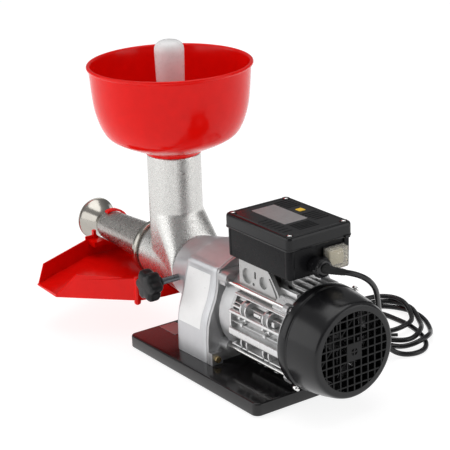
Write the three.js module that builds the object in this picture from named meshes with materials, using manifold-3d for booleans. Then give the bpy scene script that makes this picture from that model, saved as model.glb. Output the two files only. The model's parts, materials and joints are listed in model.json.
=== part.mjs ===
// Electric tomato press: geared induction motor on a base plate, clamp-on press
// body with feed neck, hopper and pusher, perforated cone with waste nozzle,
// juice tray, terminal box with switch, mains cord and plug.
// Units mm, +Z up. Origin: centre of the footprint, on the plane the feet stand on.
// +X runs along the machine toward the fan, the waste nozzle points to -X,
// the juice tray empties toward -Y.
import * as THREE from 'three';
import { mergeVertices } from 'three/addons/utils/BufferGeometryUtils.js';
import { ConvexGeometry } from 'three/addons/geometries/ConvexGeometry.js';
import Module from 'manifold-3d';

const wasm = await Module();
wasm.setup();

// ---------- driving dimensions ----------
const G = 0.3;                 // assembly gap between touching pieces
// base
const BASE_L = 286, BASE_W = 187, BASE_Z0 = 2, BASE_TOP = 19, BASE_R = 9;
const FOOT_X = 128, FOOT_Y = 78;
// axes
const MZ = 88.3;               // motor axis height
const PZ = 103.6;              // press (output) axis height
// gearbox
const GX0 = -58.8, GX1 = 4.5;  // front housing
const RX0 = 5.7;               // rear housing start
const COLLAR_X = -105, COLLAR_R = 44, COLLAR_BORE = 37.2, COLLAR_FLOOR = -82;
// gears: teeth, module, face position
const Z1 = 12, Z2 = 40, M1 = 1.25, Z3 = 13, Z4 = 42, M2 = 1.5;
const IY = 29.59, IZ = 74.86;  // intermediate axis
// motor
const ROD = 44.1;              // tie rod offset in y and z
const FRAME_X0 = 43, FRAME_X1 = 151.4, PAD_X1 = 132.4;
const COWL_X0 = 155, COWL_X1 = 217.5, COWL_R = 68.9, COWL_FACE_R = 57.6;
const GRILLE_R = 51.2, GRILLE_P = 10.7, GRILLE_BAR = 2.0;
// terminal box
const TBX0 = 26.5, TBX1 = 157.5, TBY = 50, TB_TOP = 226.5, TB_SPLIT = 208, TB_Z0 = 170.6;
// press body
const NX = -155.4, NECK_R = 36.4, NECK_BORE = 31.5, NECK_TOP = 254.2, GUSSET_Z = 175;
const BARREL_BORE = 32.5, BARREL_END = -209;
// nut, filter, nozzle
const NUT_X0 = -213, NUT_X1 = -203, NUT_R = 39.8;
const FIL_X0 = -209.3, FIL_X1 = -336, FIL_R0 = 28.2, FIL_R1 = 21.1, FIL_T = 1.2;
const BELL_X = -371.7, BELL_R = 29.6, WAIST_R = 17.2;
// hopper and pusher
const HOP_R = 110.4, HOP_TOP = 377.4;
const PUSH_TOP = 407, PUSH_BOT = 139;
// clamp
const CLX = -85.6, CLZ = 106.6, KNOB_Y0 = -103, KNOB_Y1 = -82, KNOB_R = 22;
// cord
const ORIGIN_X = -77.6, ORIGIN_Y = -17.95;   // bottom centre of the object's box, cord left out
const CORD_D = 7;
const COIL_X = 62, COIL_Y = 212, COIL_RO = 44, COIL_RI = 20, COIL_H = 26;

// ---------- helpers ----------
const V2 = (a) => a.map(([x, y]) => new THREE.Vector2(x, y));
const TAU = Math.PI * 2;
const mat4 = (c) => new THREE.Matrix4().makeBasis(
  new THREE.Vector3(...c[0]), new THREE.Vector3(...c[1]), new THREE.Vector3(...c[2]));

function clean(g) {
  let h = g.clone();
  h.deleteAttribute('normal');
  if (h.attributes.uv) h.deleteAttribute('uv');
  h = mergeVertices(h, 1e-4);
  const a = h.index.array, out = [];
  for (let i = 0; i < a.length; i += 3) {
    if (a[i] !== a[i + 1] && a[i + 1] !== a[i + 2] && a[i] !== a[i + 2]) out.push(a[i], a[i + 1], a[i + 2]);
  }
  const p = h.attributes.position.array;
  let v = 0;
  for (let i = 0; i < out.length; i += 3) {
    const [a0, b0, c0] = [out[i] * 3, out[i + 1] * 3, out[i + 2] * 3];
    v += p[a0] * (p[b0 + 1] * p[c0 + 2] - p[b0 + 2] * p[c0 + 1])
      - p[a0 + 1] * (p[b0] * p[c0 + 2] - p[b0 + 2] * p[c0])
      + p[a0 + 2] * (p[b0] * p[c0 + 1] - p[b0 + 1] * p[c0]);
  }
  if (v < 0) for (let i = 0; i < out.length; i += 3) [out[i], out[i + 1]] = [out[i + 1], out[i]];
  h.setIndex(out);
  return h;
}
function M(g) {
  if (g.getMesh) return g;
  const h = clean(g);
  return new wasm.Manifold(new wasm.Mesh({
    numProp: 3,
    vertProperties: new Float32Array(h.attributes.position.array),
    triVerts: new Uint32Array(h.index.array),
  }));
}
const add = (...a) => a.map(M).reduce((p, q) => p.add(q));
const cut = (a, ...b) => b.map(M).reduce((p, q) => p.subtract(q), M(a));
const inter = (a, b) => M(a).intersect(M(b));
function geo(m) {
  if (!m.getMesh) return clean(m);
  const k = m.getMesh(), g = new THREE.BufferGeometry(), n = k.numProp, v = k.vertProperties;
  const pos = new Float32Array(v.length / n * 3);
  for (let i = 0; i < v.length / n; i++) for (let j = 0; j < 3; j++) pos[i * 3 + j] = v[i * n + j];
  g.setAttribute('position', new THREE.BufferAttribute(pos, 3));
  g.setIndex(Array.from(k.triVerts));
  return g;
}
// solid of revolution; profile is [radius, distance along axis]
function rev(profile, n, axis, o = [0, 0, 0]) {
  const g = new THREE.LatheGeometry(V2(profile), n);
  if (axis === 'x') g.applyMatrix4(mat4([[0, 1, 0], [1, 0, 0], [0, 0, -1]]));
  else if (axis === 'z') g.rotateX(Math.PI / 2);
  g.translate(...o);
  return g;
}
const ring = (ro, ri, a, b, n, axis, o) =>
  rev([[ri, a], [ro, a], [ro, b], [ri, b], [ri, a]], n, axis, o);
const rod = (r, a, b, n, axis, o) => rev([[0, a], [r, a], [r, b], [0, b]], n, axis, o);
function box(x0, x1, y0, y1, z0, z1) {
  const g = new THREE.BoxGeometry(x1 - x0, y1 - y0, z1 - z0);
  g.translate((x0 + x1) / 2, (y0 + y1) / 2, (z0 + z1) / 2);
  return g;
}
const ext = (pts, d, o = {}) =>
  new THREE.ExtrudeGeometry(new THREE.Shape(V2(pts)), { depth: d, bevelEnabled: false, ...o });
// prisms: outline [y, z] along x; [x, y] along z; [x, z] along y
function px(pts, x0, x1) {
  const g = ext(pts, x1 - x0);
  g.applyMatrix4(mat4([[0, 1, 0], [0, 0, 1], [1, 0, 0]]));
  g.translate(x0, 0, 0);
  return g;
}
function pz(pts, z0, z1) {
  const g = ext(pts, z1 - z0);
  g.translate(0, 0, z0);
  return g;
}
function py(pts, y0, y1) {
  const g = ext(pts, y1 - y0);
  g.applyMatrix4(mat4([[1, 0, 0], [0, 0, 1], [0, -1, 0]]));
  g.translate(0, y1, 0);
  return g;
}
function rr(x0, x1, y0, y1, r, n = 4) {
  const p = [];
  for (const [cx, cy, a] of [[x1 - r, y0 + r, -90], [x1 - r, y1 - r, 0], [x0 + r, y1 - r, 90], [x0 + r, y0 + r, 180]])
    for (let i = 0; i <= n; i++) {
      const t = (a + 90 * i / n) * Math.PI / 180;
      p.push([cx + r * Math.cos(t), cy + r * Math.sin(t)]);
    }
  return p;
}
const circle = (cy, cz, r, n, a0 = 0) =>
  Array.from({ length: n }, (_, i) => [cy + r * Math.cos(a0 + TAU * i / n), cz + r * Math.sin(a0 + TAU * i / n)]);
const hull = (pts) => new ConvexGeometry(pts.map((p) => new THREE.Vector3(...p)));
// loft of equal-count sections, each a list of [x, y, z]; flat gives the 2-D cap outline
function loft(sections, flat) {
  const n = sections[0].length, pos = [], idx = [];
  sections.forEach((s) => s.forEach((p) => pos.push(...p)));
  for (let k = 0; k + 1 < sections.length; k++)
    for (let i = 0; i < n; i++) {
      const j = (i + 1) % n, a = k * n + i, b = k * n + j, c = a + n, d = b + n;
      idx.push(a, b, d, a, d, c);
    }
  const cap = (k, flip) => {
    for (const t of THREE.ShapeUtils.triangulateShape(V2(sections[k].map(flat)), []))
      idx.push(...(flip ? [t[0], t[2], t[1]] : t).map((i) => k * n + i));
  };
  cap(0, true);
  cap(sections.length - 1, false);
  const g = new THREE.BufferGeometry();
  g.setAttribute('position', new THREE.Float32BufferAttribute(pos, 3));
  g.setIndex(idx);
  return g;
}
const mirrorOutline = (half) =>   // half outline on +y from bottom to top -> closed outline
  [...half, ...half.slice().reverse().filter(([y]) => y > 1e-6).map(([y, z]) => [-y, z])];

const root = new THREE.Group();
root.name = 'tomato_press';
function node(name, shape, color, roughness = 0.5, metalness = 0) {
  const m = new THREE.Mesh(geo(shape), new THREE.MeshStandardMaterial({ color, roughness, metalness }));
  m.name = name;
  root.add(m);
  return m;
}
const BLACK = 0x141416, ALU = 0xb9bcc0, CASTING = 0xc9cacb, STEEL = 0xa9abad, RED = 0xd0140f,
  DARK = 0x1c1d1f, STAINLESS = 0xbdb8ae;

// ---------- base plate and feet ----------
{
  const b = 2.5;
  const g = ext(rr(-BASE_L / 2 + b, BASE_L / 2 - b, -BASE_W / 2 + b, BASE_W / 2 - b, BASE_R - b, 3),
    BASE_TOP - BASE_Z0 - 2 * b, { bevelEnabled: true, bevelThickness: b, bevelSize: b, bevelSegments: 1 });
  g.translate(0, 0, BASE_Z0 + b);
  let s = cut(g, pz(rr(-BASE_L / 2 + 5, BASE_L / 2 - 5, -BASE_W / 2 + 5, BASE_W / 2 - 5, 8, 2), BASE_Z0 - 1, 14));
  for (const x of [-FOOT_X, FOOT_X]) for (const y of [-FOOT_Y, FOOT_Y])
    s = s.add(M(rod(9, 8.3, 14.5, 10, 'z', [x, y, 0])));
  node('base_plate', s, BLACK, 0.2, 0);
  for (const [n, x, y] of [['foot_front_left', -FOOT_X, FOOT_Y], ['foot_front_right', -FOOT_X, -FOOT_Y],
    ['foot_rear_left', FOOT_X, FOOT_Y], ['foot_rear_right', FOOT_X, -FOOT_Y]])
    node(n, rev([[0, 0], [7, 0], [8, 1.2], [8, 8], [0, 8]], 12, 'z', [x, y, 0]), 0x0e0e0e, 0.9);
}

// ---------- gearbox ----------
// half outlines [y, z]: foot, S-curved side, rounded shoulder, arched top
const arch = [[42, 145.0], [35, 148.6], [28, 152.3], [14, 156.6], [0, 158]];
const outA = [[70.4, 19.3], [70.3, 50], [69.2, 68], [66.7, 80], [63.6, 90], [60.6, 101], [56.6, 118], [52.6, 130], [50.9, 136],
  [50.1, 140.5], [48, 143.6], [45.2, 145.2], ...arch];
const outB = [[68.9, 19.3], [68.5, 52], [66.9, 70], [63.4, 83], [58.6, 94], [54, 105], [51, 116], [49.6, 127], [48.9, 134],
  [48.6, 140], [47, 143.4], [44.6, 145.2], ...arch];
const secX = (half, x) => mirrorOutline(half).map(([y, z]) => [x, y, z]);
const yz = (p) => [p[1], p[2]];
const inset = (half, d) => half.map(([y, z]) => [Math.max(0, y - d), z > 100 ? z - d * 0.8 : z]);
{
  let s = M(loft([secX(outA, GX0), secX(outB, GX1)], yz));
  // collar hull from the round rim to the arched front face
  const face = mirrorOutline([[0, 58], [35, 66], [50, 85], [54.6, 112], [50, 134], [46.5, 141.5], [42, 144], [28, 151.6], [14, 155.9], [0, 157.3]]);
  const pts = face.map(([y, z]) => [GX0 + 2, y, z]);
  for (const [y, z] of circle(0, PZ, COLLAR_R, 28)) pts.push([COLLAR_X, y, z], [COLLAR_X + 3, y, z]);
  s = s.add(M(hull(pts)));
  s = s.add(M(rod(7.5, -46.5, -30, 12, 'y', [CLX, 0, CLZ])));
  const cavity = mirrorOutline([[63.5, 24], [63.5, 50], [60.5, 72], [54, 88], [46, 112], [42.5, 137], [28, 146.5], [0, 151.5]]);
  s = s.subtract(M(px(cavity, GX0 + 4.5, GX1 + 1)));
  s = s.add(M(ring(11, 6.3, GX0 + 4, GX0 + 12, 16, 'x', [0, IY, IZ])));
  s = s.subtract(M(rod(COLLAR_BORE, COLLAR_X - 1, COLLAR_FLOOR, 28, 'x', [0, 0, PZ])));
  s = s.subtract(M(rod(14.3, COLLAR_FLOOR - 1, -74.8, 24, 'x', [0, 0, PZ])));
  s = s.subtract(M(rod(20.3, -74.9, GX0 + 5, 24, 'x', [0, 0, PZ])));
  s = s.subtract(M(rod(4.9, -55, -30, 12, 'y', [CLX, 0, CLZ])));
  node('gearbox_front_housing', s, ALU, 0.3, 1);
}
{
  const inner = mirrorOutline([[63.5, 24], [63.5, 50], [60.5, 72], [54, 88], [49, 100], [46, 116], [42.5, 137], [28, 146.5], [0, 151.5]]);
  const B2 = inset(outB, 0.6);
  const g = cut(px(mirrorOutline(B2), GX1 + G, RX0 - G), px(inner, GX1, RX0));
  node('housing_gasket', g, 0x2a2a2a, 0.9);
}
{
  // rear housing: flange, drum toward the motor, four rod lugs, foot lugs
  let s = M(px(mirrorOutline(outB), RX0, RX0 + 4));
  s = s.add(M(rod(49, RX0 + 3, 18, 24, 'x', [0, 0, MZ])));
  s = s.add(M(rev([[0, 17], [54.5, 17], [57.6, 20], [58.2, 30], [57, FRAME_X0 - G], [0, FRAME_X0 - G]], 28, 'x', [0, 0, MZ])));
  for (const sy of [-1, 1]) {
    s = s.add(M(rod(8.2, RX0 + 3, 26, 12, 'x', [0, sy * 41.5, 135])));
    s = s.add(M(px([[sy * 30, 118], [sy * 48, 126], [sy * 49, 136], [sy * 41, 143], [sy * 20, 143]], RX0 + 3, 22)));
    s = s.add(M(rod(8.2, RX0 + 3, 26, 12, 'x', [0, sy * ROD, MZ - ROD])));
    s = s.add(M(box(RX0 + 3, 17, sy > 0 ? 52 : -68.6, sy > 0 ? 68.6 : -52, 19.3, 36)));
    s = s.add(M(px([[sy * 20, 36], [sy * 60, 19.3], [sy * 60, 36], [sy * 44, 50], [sy * 30, 52]].map(([a, b]) => [a, b]), RX0 + 3, 14)));
  }
  // interior: gear chamber tail, bearing seat, shaft bore, intermediate shaft bore
  s = s.subtract(M(px(mirrorOutline([[58, 24], [58, 52], [52, 74], [44, 92], [38, 118], [24, 138], [0, 144]]), RX0 - 1, RX0 + 2.2)));
  s = s.subtract(M(rod(17.8, 18.2, 50, 20, 'x', [0, 0, MZ])));
  s = s.subtract(M(rod(48, 30, 50, 24, 'x', [0, 0, MZ])));
  s = s.subtract(M(rod(9, 0, 40, 20, 'x', [0, 0, MZ])));
  s = s.subtract(M(rod(6.3, 0, 16, 16, 'x', [0, IY, IZ])));
  for (const sy of [-1, 1]) {
    s = s.subtract(M(rod(2.8, 12, 40, 8, 'x', [0, sy * ROD, MZ + ROD])));
    s = s.subtract(M(rod(2.8, 12, 40, 8, 'x', [0, sy * ROD, MZ - ROD])));
    s = s.subtract(M(rod(2.8, 8, 20, 10, 'x', [0, sy * 61, 27.5])));
  }
  node('gearbox_rear_housing', s, ALU, 0.35, 1);
  for (const [n, sy] of [['foot_screw_left', 1], ['foot_screw_right', -1]])
    node(n, rev([[0, 9], [2.5, 9], [2.5, 17.3], [4.6, 17.3], [4.6, 20.6], [0, 20.6]], 8, 'x', [0, sy * 61, 27.5]), 0xb08d4a, 0.35, 1);
}

// ---------- gear train ----------
function gear(teeth, m, x0, x1, cy, cz, phase, bore, n = 16) {
  const rp = teeth * m / 2, rt = rp + 0.9 * m, rt0 = rp - 1.2 * m, p = [], w = TAU / teeth;
  for (let i = 0; i < teeth; i++) {
    const c = phase + i * w;
    for (const [r, a] of [[rt0, -0.27], [rt, -0.11], [rt, 0.11], [rt0, 0.27]])
      p.push([cy + r * Math.cos(c + a * w), cz + r * Math.sin(c + a * w)]);
  }
  return cut(px(p, x0, x1), rod(bore, x0 - 1, x1 + 1, n, 'x', [0, cy, cz]));
}
const th1 = Math.atan2(IZ - MZ, IY), th2 = Math.atan2(PZ - IZ, -IY);
node('motor_pinion', gear(Z1, M1, -12, 4, 0, MZ, th1, 4.1, 12), STEEL, 0.35, 1);
node('intermediate_gear', gear(Z2, M1, -10, 2, IY, IZ, th1 + Math.PI + Math.PI / Z2, 6.2), STEEL, 0.35, 1);
node('intermediate_pinion', gear(Z3, M2, -40, -20.5, IY, IZ, th2, 6.2, 12), STEEL, 0.35, 1);
node('output_gear', gear(Z4, M2, -38, -22, 0, PZ, th2 + Math.PI + Math.PI / Z4, 8.8), STEEL, 0.35, 1);
node('intermediate_shaft', rod(5.9, GX0 + 5.2, 14, 16, 'x', [0, IY, IZ]), STEEL, 0.25, 1);
{
  // output shaft: hexagonal drive end toward the press, collar behind the gear
  const hex = px(circle(0, PZ, 14 / Math.sqrt(3), 6), -99, -82);
  let s = add(rod(8.5, -82.6, -20, 16, 'x', [0, 0, PZ]), hex);
  s = s.add(M(rod(10.5, -55.5, -38.4, 20, 'x', [0, 0, PZ])));
  node('output_shaft', s, STEEL, 0.25, 1);
}
node('output_bearing', ring(20, 8.8, -74.5, -56, 16, 'x', [0, 0, PZ]), STEEL, 0.3, 1);
node('output_seal', ring(14, 8.9, -81.6, -75.2, 16, 'x', [0, 0, PZ]), 0x151515, 0.8);

// ---------- motor ----------
{
  // finned frame; rails and fins run along x, pad for the terminal box on top
  let s = M(rod(52, FRAME_X0, FRAME_X1, 28, 'x', [0, 0, MZ]));
  s = s.add(M(rod(58.2, FRAME_X0, FRAME_X0 + 5, 28, 'x', [0, 0, MZ])));
  for (const sy of [-1, 1]) {
    const side = (x0, x1, y, z0, z1) => M(sy > 0 ? box(x0, x1, 20, y, z0, z1) : box(x0, x1, -y, -20, z0, z1));
    for (const [z0, z1, y] of [[122.5, 127, 50.5], [112.5, 115, 52], [101.5, 105.5, 60.5], [71.5, 82, 61.5], [57, 60, 58], [48, 50.5, 52]])
      s = s.add(side(FRAME_X0, FRAME_X1, y, z0, z1));
    // upright lugs between the rail and the upper fin, ribs in the recess below it
    for (const x of [69, 78, 114, 123]) s = s.add(M(px([[sy * 30, 104], [sy * 60, 104], [sy * 61, 113], [sy * 58, 120], [sy * 50, 124], [sy * 30, 124]], x, x + 3.4)));
    for (const x of [64, 72, 108, 116]) s = s.add(side(x, x + 3, 59, 81, 87));
  }
  for (const y of [-26, -9, 9, 26]) s = s.add(M(box(FRAME_X0, FRAME_X1, y - 1.2, y + 1.2, MZ - 63 + Math.abs(y) * 0.2, MZ - 40)));
  // terminal box pad, sides pocketed
  s = s.add(M(py([[44, 118], [PAD_X1, 118], [PAD_X1, 131], [125, 140], [116, 152], [108, 163], [100, 170.2], [44, 170.2]], -41, 41)));
  s = s.subtract(M(box(47, 120, -35, 35, 149, 164)));
  for (const sy of [-1, 1]) {
    const yy = sy > 0 ? [37.5, 45] : [-45, -37.5];
    s = s.subtract(M(rod(10, yy[0], yy[1], 14, 'y', [60.5, 0, 149.6])));
    s = s.subtract(M(rod(8, yy[0], yy[1], 12, 'y', [93.6, 0, 149.4])));
    s = s.subtract(M(py(rr(75.2, 79, 150, 159.5, 1.7, 2), ...yy)));
    s = s.subtract(M(rod(1.9, yy[0], yy[1], 8, 'y', [73.5, 0, 142])));
  }
  for (const y of [-27, -6, 16]) s = s.add(M(box(112, FRAME_X1, y, y + 7, 138, 157)));
  s = s.subtract(M(rod(48.6, FRAME_X0 - 1, FRAME_X1 + 1, 28, 'x', [0, 0, MZ])));
  for (const sy of [-1, 1]) for (const sz of [-1, 1]) {
    s = s.subtract(M(rod(3.8, FRAME_X0 - 1, FRAME_X1 + 1, 8, 'x', [0, sy * ROD, MZ + sz * ROD])));
    s = s.subtract(M(rod(8.2, 143.8, FRAME_X1 + 1, 12, 'x', [0, sy * ROD, MZ + sz * ROD])));
  }
  node('motor_frame', s, 0xc4c6c8, 0.32, 1);
}
{
  // stator with winding heads
  node('stator_core', rev([[31.5, 54], [34, 46], [45, 46], [47.9, 54], [47.9, 110], [45, 118], [34, 118], [31.5, 110], [31.5, 54]], 20, 'x', [0, 0, MZ]), 0x5a4a3a, 0.6, 0.6);
}
node('rotor_core', ring(31, 12.2, 53, 111, 20, 'x', [0, 0, MZ]), 0x8d8f92, 0.45, 1);
node('motor_shaft', rev([[0, -11], [3.8, -11], [3.8, 5], [7.2, 5], [7.2, 46], [11.9, 46], [11.9, 116], [7.2, 116], [7.2, 145], [6, 145], [6, 209], [0, 209]], 12, 'x', [0, 0, MZ]), STEEL, 0.25, 1);
node('motor_front_bearing', ring(17.5, 7.5, 18.5, 29, 16, 'x', [0, 0, MZ]), STEEL, 0.3, 1);
node('motor_rear_bearing', ring(17.5, 7.5, 130.5, 140, 16, 'x', [0, 0, MZ]), STEEL, 0.3, 1);
{
  // disc behind the frame with a spigot for the cowl, bearing hub, four rod lugs
  let s = M(rev([[0, 129], [22, 129], [22, FRAME_X1 + G], [66.4, FRAME_X1 + G], [66.4, 163], [63, 163], [63, 157], [22, 157], [0, 157]], 28, 'x', [0, 0, MZ]));
  for (const sy of [-1, 1]) for (const sz of [-1, 1]) s = s.add(M(rod(7.6, 144.2, FRAME_X1 + G + 1, 12, 'x', [0, sy * ROD, MZ + sz * ROD])));
  s = s.subtract(M(rod(17.8, 128, 140.4, 20, 'x', [0, 0, MZ])));
  s = s.subtract(M(rod(9, 120, 160, 16, 'x', [0, 0, MZ])));
  for (const sy of [-1, 1]) for (const sz of [-1, 1]) {
    s = s.subtract(M(rod(3.7, 120, 165, 8, 'x', [0, sy * ROD, MZ + sz * ROD])));
    s = s.subtract(M(rod(5.7, 150.2, 165, 12, 'x', [0, sy * ROD, MZ + sz * ROD])));
  }
  node('rear_end_shield', s, ALU, 0.4, 1);
}
{
  let s = M(ring(13, 6.3, 160, 183, 12, 'x', [0, 0, MZ]));
  s = s.add(M(ring(54, 12, 160, 162, 20, 'x', [0, 0, MZ])));
  for (let i = 0; i < 8; i++) {
    const b = box(161, 185, 11, 55, -1.2, 1.2);
    b.rotateX(TAU * i / 8);
    b.translate(0, 0, MZ);
    s = s.add(M(b));
  }
  node('cooling_fan', s, 0x111113, 0.7);
}
{
  const o = [0, 0, MZ];
  let s = M(rev([[0, COWL_X1], [COWL_FACE_R, COWL_X1], [60.4, 213.5], [64.8, 195], [67.6, 171],
    [66.5, 169.8], [66.5, 168.4], [68.4, 167.2], [COWL_R, COWL_X0], [67, COWL_X0], [66.8, 163.6], [64.9, 166],
    [64.9, 171.6], [62.5, 195], [57.6, 214.8], [0, 214.8]], 28, 'x', o));
  let holes = M(rod(GRILLE_R, 213, 219, 28, 'x', o));
  for (let i = -4; i <= 4; i++) {
    const p = i * GRILLE_P, h = GRILLE_BAR / 2;
    holes = holes.subtract(M(box(212, 220, p - h, p + h, MZ - 60, MZ + 60)));
    holes = holes.subtract(M(box(212, 220, -60, 60, MZ + p - h, MZ + p + h)));
  }
  holes = holes.subtract(M(box(212, 220, -11.2, 11.2, MZ - 11.2, MZ + 11.2)));
  holes = holes.add(M(rod(4.6, 212, 220, 12, 'x', o)));
  s = s.subtract(holes);
  for (const sy of [-1, 1]) for (const sz of [-1, 1])
    s = s.subtract(M(rod(8.3, 153, 158, 12, 'x', [0, sy * ROD, MZ + sz * ROD])));
  for (const a of [46, 230.3]) {
    const c = rod(2.4, 60, 80, 8, 'y');
    c.rotateX(a * Math.PI / 180);
    c.translate(161, 0, MZ);
    s = s.subtract(M(c));
  }
  node('fan_cowl', s, BLACK, 0.35);
  for (const [n, a] of [['cowl_screw_upper', 46], ['cowl_screw_lower', 230.3]]) {
    const c = rev([[0, 67.7], [2, 67.7], [2, 70.2], [4.8, 70.2], [4.2, 73.6], [0, 73.6]], 8, 'y');
    c.rotateX(a * Math.PI / 180);
    c.translate(161, 0, MZ);
    node(n, c, 0xc9c9c9, 0.3, 1);
  }
}
for (const [n, sy, sz] of [['tie_rod_1', -1, 1], ['tie_rod_2', 1, 1], ['tie_rod_3', 1, -1], ['tie_rod_4', -1, -1]]) {
  const b = rev([[0, 14], [2.4, 14], [2.4, 41], [3.2, 41.6], [3.2, 150.4], [4.8, 150.4], [4.8, 157.4], [0, 157.4]], 8, 'x', [0, sy * ROD, MZ + sz * ROD]);
  node(n, b, 0xd0d0d0, 0.25, 1);
}

// ---------- terminal box ----------
{
  const S = (d, z, r, n = 3) => rr(TBX0 + d, TBX1 - d, -TBY + d, TBY - d, r, n).map(([x, y]) => [x, y, z]);
  const xy = (p) => [p[0], p[1]];
  let s = M(loft([S(3.2, TB_Z0, 5.4), S(2.4, TB_SPLIT - G, 6)], xy));
  s = s.subtract(M(loft([S(6, TB_Z0 + 2.5, 4, 1), S(5, TB_SPLIT + 1, 4.5, 1)], xy)));
  // corner columns for the lid screws
  const cx = [TBX0 + 8.6, TBX1 - 8.6], cy = [-TBY + 8.6, TBY - 8.6];
  for (const x of cx) for (const y of cy) s = s.add(M(rod(4.6, TB_Z0 + 1, TB_SPLIT - G, 8, 'z', [x, y, 0])));
  for (const x of cx) for (const y of cy) s = s.subtract(M(rod(1.9, TB_Z0 + 20, TB_SPLIT + 1, 6, 'z', [x, y, 0])));
  s = s.subtract(M(rod(7.3, 140, 162, 20, 'x', [0, -9.5, 184.5])));
  s = s.subtract(M(box(140, 162, 7, 31, 177.4, 199.6)));
  s = s.subtract(M(rod(7, TB_Z0 - 1, TB_Z0 + 5, 16, 'z', [70, 0, 0])));
  node('terminal_box_base', s, DARK, 0.45);
  let l = M(loft([S(0.6, TB_SPLIT, 6.5), S(0, TB_SPLIT + 2, 7), S(0.6, TB_TOP - 3.6, 6.8), S(1.6, TB_TOP - 1.1, 6), S(3.4, TB_TOP, 4.6)], xy));
  l = l.subtract(M(loft([S(3.2, TB_SPLIT - 1, 5, 2), S(4.6, TB_TOP - 3, 4, 2)], xy)));
  for (const x of cx) for (const y of cy) l = l.add(M(rod(4.8, TB_SPLIT, TB_TOP - 1, 8, 'z', [x, y, 0])));
  for (const x of cx) for (const y of cy) {
    l = l.subtract(M(rod(2.3, TB_SPLIT - 1, TB_TOP + 1, 6, 'z', [x, y, 0])));
    l = l.subtract(M(rod(3.9, TB_TOP - 5, TB_TOP + 1, 8, 'z', [x, y, 0])));
  }
  // snap ears under the lid edge
  l = l.add(M(box(TBX0 - 1.6, TBX0 + 3, -38, -31, TB_SPLIT, TB_SPLIT + 3)));
  l = l.add(M(box(TBX1 - 3, TBX1 + 1.6, 31, 38, TB_SPLIT, TB_SPLIT + 3)));
  node('terminal_box_lid', l, 0x17181a, 0.3);
  let k = 1;
  for (const x of cx) for (const y of cy) {
    node('lid_screw_' + k++, rev([[0, TB_SPLIT - 12], [1.6, TB_SPLIT - 12], [1.6, TB_TOP - 4.7], [3.5, TB_TOP - 4.7], [3.0, TB_TOP - 1.4], [0, TB_TOP - 1.4]], 8, 'z', [x, y, 0]), 0x9a9a98, 0.35, 1);
  }
  node('run_capacitor', rod(15, 45, 118, 24, 'x', [0, 24, 189.5]), 0xd8d8d4, 0.4);
  node('terminal_block', add(box(60, 104, -32, -12, 173.4, 182), box(64, 100, -28, -16, 181, 190)), 0x8a8276, 0.6);
  // cable gland on the fan-side wall
  const gx = 155.1, go = [0, -9.5, 184.5];
  let gb = add(rod(7, 149, gx + 4, 20, 'x', go), px(circle(-9.5, 184.5, 11.6, 6, Math.PI / 6), gx + 0.2, 163.8));
  gb = gb.subtract(M(rod(4, 140, 184, 12, 'x', go)));
  node('cable_gland_body', gb, 0x1b1c20, 0.3);
  let gn = add(px(circle(-9.5, 184.5, 12.9, 6, 0), 164.1, 172.8), rev([[0, 172.3], [11, 172.3], [9.5, 175.8], [0, 175.8]], 20, 'x', go));
  gn = gn.subtract(M(rod(4, 150, 184, 12, 'x', go)));
  node('cable_gland_nut', gn, 0x121214, 0.35);
  // rocker switch with flange, rocker and clear boot
  let sb = add(box(139, 155, 7.6, 30.4, 178, 199), box(155.3, 157.5, 2.6, 35.4, 174, 203), box(154, 156, 7.6, 30.4, 178, 199));
  sb = sb.subtract(M(box(153.5, 159, 8.4, 29.6, 178.8, 198.2)));
  node('switch_body', sb, BLACK, 0.5);
  const wedge = pz([[-3.5, -9.8], [3.2, -9.8], [1.8, 0], [3.2, 9.8], [-3.5, 9.8]], -9.2, 9.2);
  wedge.rotateZ(-6.5 * Math.PI / 180);
  wedge.translate(159.4, 19, 188.5);
  node('switch_rocker', wedge, 0xe9e4cf, 0.4);
  let bt = M(hull([...rr(4.2, 34.6, 174.8, 202.2, 2, 3).map(([y, z]) => [157.8, y, z]), ...rr(4.8, 34, 175.4, 201.6, 2, 3).map(([y, z]) => [167, y, z])]));
  bt = bt.subtract(M(hull([...rr(5.4, 33.4, 176, 201, 1.5, 3).map(([y, z]) => [157, y, z]), ...rr(6, 32.8, 176.6, 200.4, 1.5, 3).map(([y, z]) => [165.6, y, z])])));
  node('switch_boot', bt, 0xe6e3d6, 0.3);
}

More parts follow.
